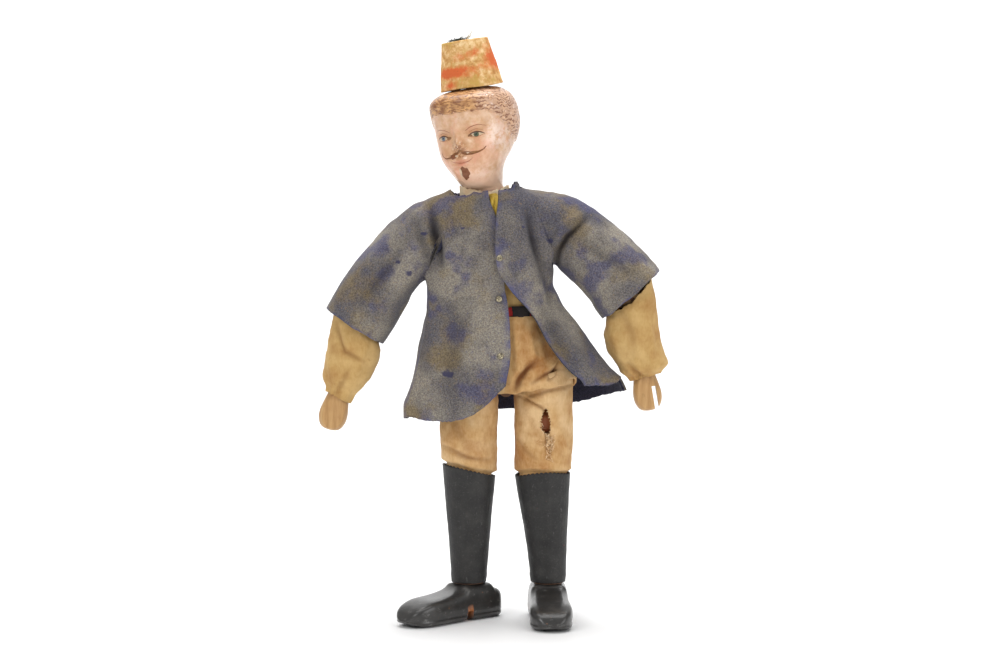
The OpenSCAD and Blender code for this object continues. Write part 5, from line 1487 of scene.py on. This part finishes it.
seat = tube("cotton_trouser_seat", seat_at, 260, 90, cotton, "torso", ("trouser_seat",),
            cotton_t, seat_folds, 0.35, 91, modify=with_legs)
for s in (RIGHT, LEFT):

    def leg_at(turn, share, s=s):
        """From the gathered end inside the boot up to the slanting top inside the seat."""
        top = 0.2 * leg_top_r + 0.3 * leg_top_r * s * np.cos(turn)
        low = -thigh_len - tuck_len
        z = low + (top - low) * share
        rim = thigh_len + 3.6 - boot_rise(s, turn)
        r = leg_reach(s, z) - 1.9 * ease(-z, rim - 2.2, rim - 0.5) + 0.14 * np.cos(5 * turn)
        return hip_at[s] + np.stack([r * np.cos(turn), r * np.sin(turn), z], -1)

    leg = tube(f"cotton_trouser_leg_{SIDE[s]}", leg_at, 200, 120, cotton, None,
               (f"trouser_leg_{SIDE[s]}",), cotton_t, leg_folds[s], 0.3, 95 + s,
               keep=tear_open if s == LEFT else None)
    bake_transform(leg)

# %% [markdown]
# ### Frayed threads of the tear
# Loose threads stick out of both lips of the tear, and below it they close the slit. Each starts on the
# leg's skin beside the slit, at a chosen height, and points across it.

# %% Threads of the tear
inner_count, outer_count = 60, 50
thread_count = inner_count + outer_count
rng = np.random.default_rng(17)
rows = np.array(tear)[::-1]
z = np.concatenate([rng.uniform(59.5, 73, inner_count), rng.uniform(64.0, 68.5, outer_count)])
out = np.concatenate([-np.ones(inner_count), np.ones(outer_count)])
apart = np.concatenate([rng.uniform(-0.3, 0.8, inner_count), rng.uniform(0.0, 2.6, outer_count)])
x = smooth(rows[:, [0, 1]], z) + out * (smooth(rows[:, [0, 2]], z) + apart)
r = leg_reach(LEFT, z - hip_at[LEFT][2]) + 0.45
y = body_y - np.sqrt(np.maximum(r**2 - (x - hip_at[LEFT][0]) ** 2, 1))
across = -out + rng.normal(size=thread_count) * 0.6
forward = -0.1 - 0.3 * rng.random(thread_count)
upward = rng.normal(size=thread_count) * 0.6
lengths = rng.uniform(0.9, 2.2, thread_count)
tear_cotton = thread_finish("torn_thread", srgb(206, 160, 108), srgb(250, 226, 186))
threads("tear_loose_threads", np.stack([x, y, z], -1), np.stack([across, forward, upward], -1), lengths,
        0.17, tear_cotton, "thigh_left", (), 0.3, 19)
print("threads at the tear:", thread_count)

# %% [markdown]
# ## False sleeves
# Two tubes of tan cotton hang round the forearms. They are gathered at the wrists and hang wider towards
# the body than away from it.

# %% False sleeves
cuff_len, cuff_r = 29.0, 9.6
# Rows: share of the length down from the elbow, radius share, shift of the middle towards the body
false_rows = {
    RIGHT: [[-0.28, 0.9, 0], [0, 0.92, 0], [0.155, 0.94, 0.02], [0.31, 1.01, 0.12], [0.465, 1, 0.14],
            [0.62, 0.95, 0.12], [0.78, 0.8, 0.06], [0.93, 0.57, 0.05], [1.04, 0.53, 0]],
    LEFT: [[-0.28, 0.9, 0], [0, 0.94, 0.03], [0.28, 1, 0.12], [0.41, 1.05, 0.2], [0.575, 1.035, 0.19],
           [0.725, 0.98, 0.08], [0.875, 0.94, -0.05], [0.965, 0.66, -0.02], [1.04, 0.53, 0]],
}
false_folds = {
    RIGHT: [
        ([(-56.8, 109), (-53.4, 98.4), (-46, 94.8)], 1.0, -0.9, True),
        ([(-60, 97), (-57.5, 90), (-56.6, 84.6)], 1.3, 0.6, True),
        ([(-52, 92), (-55, 86), (-57, 82)], 1.2, -0.6, True),
        ([(-46, 102), (-47.6, 94), (-51, 88)], 1.8, 0.6, True),
        ([(-48, 104), (-54, 94), (-57, 84)], 2.0, -0.8, False),
    ],
    LEFT: [
        ([(42.6, 108), (45, 98), (50.2, 90)], 1.2, 0.5, True),
        ([(55.8, 112), (57.4, 101), (57.6, 92.6)], 1.3, 0.5, True),
        ([(48.6, 94), (52, 90.4), (55, 88.6)], 0.9, -0.8, True),
        ([(46, 113), (50, 106), (51, 98)], 2.2, -0.5, True),
        ([(46, 110), (52, 100), (56, 90)], 2.0, -0.8, False),
    ],
}
for s in (RIGHT, LEFT):
    rows = np.array(false_rows[s])

    def false_at(turn, share, s=s, rows=rows):
        """A tube round the forearm whose radius and middle change down its length."""
        out = s * np.cos(turn)
        slant = -0.04 + 0.05 * out if s == RIGHT else -0.03 + np.where(out < 0, 0.12, 0.26) * out
        top = cuff_len * slant
        ragged = 0.2 * np.sin(13 * turn) + 0.12 * np.sin(29 * turn + s)
        ragged = ragged - 0.5 * ease(np.sin(turn), -0.2, 0.8)
        low = -cuff_len + (-0.04 if s == RIGHT else 0.02) * cuff_len * np.cos(turn)
        z = low + (top - low + ragged) * share
        down = -z / cuff_len
        gather = 0.3 * np.cos(11 * turn + 2 * np.sin(3 * turn)) * ease(down, 0.75, 0.98)
        r = cuff_r * smooth(rows[:, [0, 1]], down) + gather + 0.25 * np.cos(3 * turn + 40)
        x = r * np.cos(turn) - s * cuff_r * smooth(rows[:, [0, 2]], down)
        return to_world(forearm[s], np.stack([x, r * np.sin(turn), z], -1))

    obj = tube(f"cotton_false_sleeve_{SIDE[s]}", false_at, 180, 110, shirt_cotton,
               f"forearm_{SIDE[s]}", (f"false_sleeve_{SIDE[s]}",), cotton_t,
               false_folds[s], 0.35, 101 + s)

# %% [markdown]
# ## Boots
# A boot is an oilcloth tube with a pinked top edge over a wooden foot that is painted black. The tube
# widens from the ankle up by a power of its share of the height, and a low ring stands out at its foot.

# %% Boot shafts
boot_top, boot_top_r, boot_ankle_r = 54.4, 9.7, 6.4
for s in (RIGHT, LEFT):

    def boot_at(turn, share, s=s):
        """A tube that widens upwards; its top edge slants on the right and arches on the left."""
        low = -shin_len + 0.45 - math.tan(math.radians(shin_out[s])) * boot_ankle_r * np.cos(turn) * s
        pinked = 0.4 * np.abs(np.sin(18 * turn)) - 0.15
        z = low + (boot_top - knee_at[s][2] + boot_rise(s, turn) + pinked - low) * share
        r = boot_ankle_r + (boot_top_r - boot_ankle_r) * share**1.15
        r = r + (0.8 if s == LEFT else 0) * ease(share, 0.3, 1) * np.clip(-np.cos(turn), 0, 1)
        r = r + 0.12 * np.cos(3 * turn + 2 * share) * np.sin(np.pi * share)
        r = r + 0.16 * np.exp(-(((share - 0.06) / 0.03) ** 2))
        return to_world(shin[s], np.stack([r * np.cos(turn), r * np.sin(turn), z], -1))

    obj = tube(f"oilcloth_boot_shaft_{SIDE[s]}", boot_at, 288, 80, oilcloth, f"shin_{SIDE[s]}",
               (f"boot_shaft_{SIDE[s]}",), 0.6, (), 0.1, 111 + s)

# %% [markdown]
# ### Feet
# A foot is a row of cross-sections from heel to toe. At each share of its length the tables give its half
# width, its upper line and its lower line, and the cross-section is a squared oval between them. A
# groove parts the sole from the upper, and a slot is sawn up into the wood under the instep.

# %% The foot's tables and paint
foot_len, foot_w, heel_len = 43.8, 15.5, 11.6
foot_top_line = [[0, 0.5], [0.02, 0.76], [0.08, 0.92], [0.2, 0.95], [0.36, 0.93], [0.52, 0.93],
                 [0.66, 0.98], [0.76, 1], [0.86, 0.93], [0.94, 0.72], [0.985, 0.42], [1, 0.2]]
foot_upper = [[0, 0.66], [0.02, 0.76], [0.06, 0.82], [0.1, 0.88], [0.125, 0.98], [0.16, 1], [0.38, 1],
              [0.42, 0.91], [0.47, 0.84], [0.54, 0.79], [0.635, 0.745], [0.77, 0.7], [0.87, 0.6],
              [0.95, 0.44], [1, 0.2]]
foot_lower = [[0, 0.03], [0.03, 0], [0.82, 0], [0.93, 0.07], [0.985, 0.14], [1, 0.2]]


def foot_finish():
    """Black paint, scuffed grey and worn to brown, with bare wood in the slot."""
    f = Finish("foot_paint", 0.32, 0.5, coat=0.25)
    base = f.ramp(f.noise(220, 5, 0.6), (0.3, srgb(36, 35, 34)), (0.6, srgb(52, 50, 48)),
                  (0.8, srgb(74, 71, 67)))
    worn = f.step(f.noise(520, 5, 0.7, turn=(1, 0.4, 0)), 0.66, 0.72)
    scuffs = f.step(f.noise(480, 5, 0.72, stretch=(0.5, 1, 1), turn=(0, 0.3, 0.6)), 0.58, 0.7)
    rubbed = f.mix(f.times(scuffs, 0.45), base, srgb(132, 131, 128))
    rubbed = f.mix(f.times(worn, 0.6), rubbed, srgb(134, 92, 60))
    rubbed = f.mix(f.value("bare"), rubbed, srgb(186, 110, 52))
    f.bump(f.noise(900, 4), 0.2, 0.0002)
    f.bump(f.noise(260, 3, stretch=(1, 0.3, 1)), 0.2, 0.0005)
    return f.color(rubbed)


foot_paint = foot_finish()
print("foot:", foot_len, "by", foot_w, "by", foot_h, "mm")

# %% The carved foot
slot_y, slot_half, slot_top = -5.4, 1.25, 4.0
at = (1 - np.cos(np.linspace(0, np.pi, 130))) / 2
turn, share = grid(np.linspace(0, 2 * np.pi, 96, endpoint=False), at)
wide = foot_w / 2 * smooth(foot_top_line, share)
top, low = foot_h * smooth(foot_upper, share), foot_h * smooth(foot_lower, share)
c, d = np.cos(turn), np.sin(turn)
up = 0.5 + 0.5 * np.sign(d) * np.abs(d) ** np.where(d < 0, 0.35, 0.42)
level = low + (top - low) * up
# The upper leans in above the sole, and a groove runs between sole and upper
lean = 1 - 0.07 * ease(level / foot_h, 0.38, 0.95)
groove = 0.35 * np.exp(-(((level - 2.6) / 0.45) ** 2)) * ease(np.abs(c), 0.3, 0.8)
x = (wide * lean - groove) * np.sign(c) * np.abs(c) ** 0.42
y = heel_len - foot_len * share
cleft = (np.abs(y - slot_y) < slot_half) & (level < slot_top)
level = np.where(cleft, slot_top + 0.1 * np.sin(5 * x), level)
bare = np.pad(cleft * 1.0, [(2, 2), (0, 0)])
shoe = np.stack([x, y, level], -1)


def foot_end(i, size, move, middle):
    """One more ring beyond the heel or toe, smaller and moved along, so that the end closes round."""
    ring = shoe[[i]]
    return np.stack([ring[..., 0] * size, ring[..., 1] + move, middle + (ring[..., 2] - middle) * size], -1)


shoe = np.concatenate([foot_end(0, 0.02, 0.5, 3), foot_end(0, 0.6, 0.3, 3), shoe,
                       foot_end(-1, 0.6, -0.25, 2.6), foot_end(-1, 0.02, -0.4, 2.6)])
faces = quads(*shoe.shape[:2], True)
for s in (RIGHT, LEFT):
    make_mesh(f"painted_foot_{SIDE[s]}", to_world(foot[s], shoe.reshape(-1, 3)), faces, foot_paint,
              f"shin_{SIDE[s]}", (f"foot_{SIDE[s]}",), {"bare": bare})
print("faces of a foot:", len(faces))

# %% [markdown]
# ## Bare wood, cord and pins
# The limbs stay the imported solids. They get a turned beech with fine long grain, darker where hands have
# held it. The shins, the torso block and the fez's cone get a dark brown wood, which also serves as painted
# shade where the block shows under the coat and the cone under the fez. The elastic cord and the pins get
# finishes of their own.

# %% Finishes of the imported solids


def wood_finish(name, pale, mid, dark, rough=0.45):
    """Beech in three tones: grain drawn out along the limb, stains and short dark pores."""
    f = Finish(name, rough, 0.4)
    grain = f.noise(240, 5, 0.6, stretch=(3, 3, 0.35), turn=(0.05, 0.1, 0))
    base = f.mix(0.5, f.ramp(grain, (0.3, dark), (0.5, mid), (0.7, pale)), mid)
    stain = f.mix(f.times(f.step(f.noise(70, 3, turn=(1, 2, 0)), 0.48, 0.7), 0.5), base, dark)
    pores = f.step(f.noise(900, 3, 0.6, stretch=(3, 3, 0.25)), 0.66, 0.72)
    f.bump(grain, 0.25, 0.0003)
    return f.color(f.mix(f.times(pores, 0.5), stain, srgb(96, 60, 34)))


limb_wood = wood_finish("wood_limb", srgb(204, 168, 116), srgb(182, 142, 92), srgb(148, 104, 62))
thigh_wood = wood_finish("wood_thigh", srgb(196, 116, 68), srgb(172, 96, 54), srgb(140, 74, 40))
# Dark brown wood: the shins' own colour, and painted shade where the torso block and the fez's cone show
dark_wood_and_shade = wood_finish("wood_body", srgb(128, 90, 58), srgb(104, 70, 44), srgb(72, 48, 30))
pin_wood = wood_finish("wood_pin", srgb(150, 104, 66), srgb(122, 80, 48), srgb(90, 58, 34))
cord_wool = thread_finish("cord", srgb(150, 136, 112), srgb(206, 196, 172))
print("woods and cord made")

# %% The cone under the fez's cloth
cone_low, cone_high = 0.35, fez_h - 0.85
turn, t = np.linspace(0, 2 * np.pi, 96, endpoint=False), np.linspace(0, 1, 30)[:, None]
cone_r = fez_foot_r - 1.0 + (fez_top_r - fez_foot_r) * t
core_r = np.concatenate([[[0.02]], [[6.0]], cone_r, [[4.0]], [[0.02]]])
cone_z = cone_low + (fez_h - 1.2) * t
core_z = np.concatenate([[[cone_low]], [[cone_low]], cone_z, [[cone_high]], [[cone_high]]]) + fez_z
core = np.stack([fez_shift + core_r * np.cos(turn), core_r * np.sin(turn), core_z + 0 * turn], -1)
# The cone's dark wood also stands as painted shade in the line under the fez
make_mesh("wooden_fez_cone", to_world(head, core.reshape(-1, 3)), quads(*core.shape[:2], True),
          dark_wood_and_shade, "head", ("fez",))
print("cone from", cone_low, "to", cone_high, "mm above the fez's foot")

# %% Wood and cord on the imported solids
# The torso block's dark wood also stands as painted shade where it shows under the coat
wood_of = [("upper_arm", limb_wood), ("forearm", limb_wood), ("thigh", thigh_wood), ("shin", dark_wood_and_shade),
           ("torso_block", dark_wood_and_shade), ("fez_peg", pin_wood), ("arm_pins", pin_wood), ("leg_pins", pin_wood),
           ("neck_pin", pin_wood)]
finished = 0
for name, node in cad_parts.items():
    material = cord_wool if "cord" in name else None
    for start, wood in wood_of:
        if name.startswith(start):
            material = wood
    if material:
        node.data.materials.clear()
        node.data.materials.append(material)
        finished += 1
print("packed solids with a finish:", finished)

# %% [markdown]
# ## Baking the sleeves and coat fronts
# The sleeves and the coat's fronts have their places written into their meshes.

# %% Baking the sleeves and fronts
for s in (RIGHT, LEFT):
    start, end = to_world(upper_arm[s], np.array([[0, 0, 2.0], [0, 0, -14.0]])) * MM
    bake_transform(coat_sleeve[s])
# Each hip's place across and in depth, in metres
for s, panel in ((RIGHT, coat_right), (LEFT, coat_left)):
    x, y = (pelvis_x + s * hip_spacing / 2) * MM, body_y * MM
    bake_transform(panel)

# %% [markdown]
# ## Floor, light and camera
# The doll stands on a white sweep, as in the photograph. Large soft lamps at both sides and above give
# the even studio light, with weak shadows. The camera is level with the chest and looks slightly down.

# %% The white sweep


def make_stage():
    """A floor that curves up into a back wall: a profile along Y, extended along X."""
    bend = np.linspace(0, np.pi / 2, 24)
    y = np.concatenate([[-1500.0], 700 + 400 * np.sin(bend), [1100.0]])
    z = np.concatenate([[0.0], 400 - 400 * np.cos(bend), [2200.0]])
    x = np.array([2200.0, -2200.0])
    points = np.stack([x[None, :] + 0 * y[:, None], y[:, None] + 0 * x, z[:, None] + 0 * x], -1)
    f = Finish("white_sweep", 0.6, 0.3)
    f.color(f.ramp(f.noise(3, 2), (0.3, (0.86, 0.86, 0.86)), (0.7, (0.88, 0.88, 0.88))))
    faces = quads(len(y), len(x), False)[:, ::-1]
    sweep = make_mesh("white_sweep", points.reshape(-1, 3), faces, f.material, None)
    return sweep


stage = make_stage()
print("stage:", stage.name)

# %% Lamps


def lamp(name, place, target, size, power, color=(1, 1, 1)):
    """A square soft lamp at a place in metres, turned to a target."""
    data = bpy.data.lights.new(name, "AREA")
    data.size, data.energy, data.color = size, power, color
    obj = bpy.data.objects.new(name, data)
    obj.location = place
    obj.rotation_euler = (Vector(target) - Vector(place)).to_track_quat("-Z", "Y").to_euler()
    bpy.context.scene.collection.objects.link(obj)
    print("lamp:", name, power, "W")


lamp("key", (-0.55, -0.75, 0.75), (0, 0, 0.11), 0.5, 4.2)
lamp("fill", (0.7, -0.6, 0.4), (0, 0, 0.1), 0.6, 2.8)
lamp("top", (0.0, 0.05, 0.95), (0, 0, 0.1), 0.7, 4.5)
lamp("backdrop", (0.0, 0.35, 0.9), (0, 0.9, 0.2), 0.8, 8)

studio_white = 0.42
world = bpy.data.worlds.new("studio")
world.use_nodes = True
background = world.node_tree.nodes["Background"]
background.inputs[0].default_value = (1, 1, 1, 1)
background.inputs[1].default_value = studio_white
bpy.context.scene.world = world

# %% Camera
camera_data = bpy.data.cameras.new("camera")
camera_data.lens, camera_data.sensor_width = 99.36, 36.0
# Metres to the side, in front and up, and degrees below level
camera_side, camera_away, camera_up, camera_down = 0.0027, 0.9945, 0.188, 4.75
camera = bpy.data.objects.new("camera", camera_data)
camera.location = (camera_side, -camera_away, camera_up)
camera.rotation_euler = (math.radians(90 - camera_down), 0, 0)
bpy.context.scene.collection.objects.link(camera)
scene = bpy.context.scene
scene.camera = camera
scene.view_settings.view_transform = "Standard"
print("camera", tuple(camera.location), "lens", camera_data.lens)
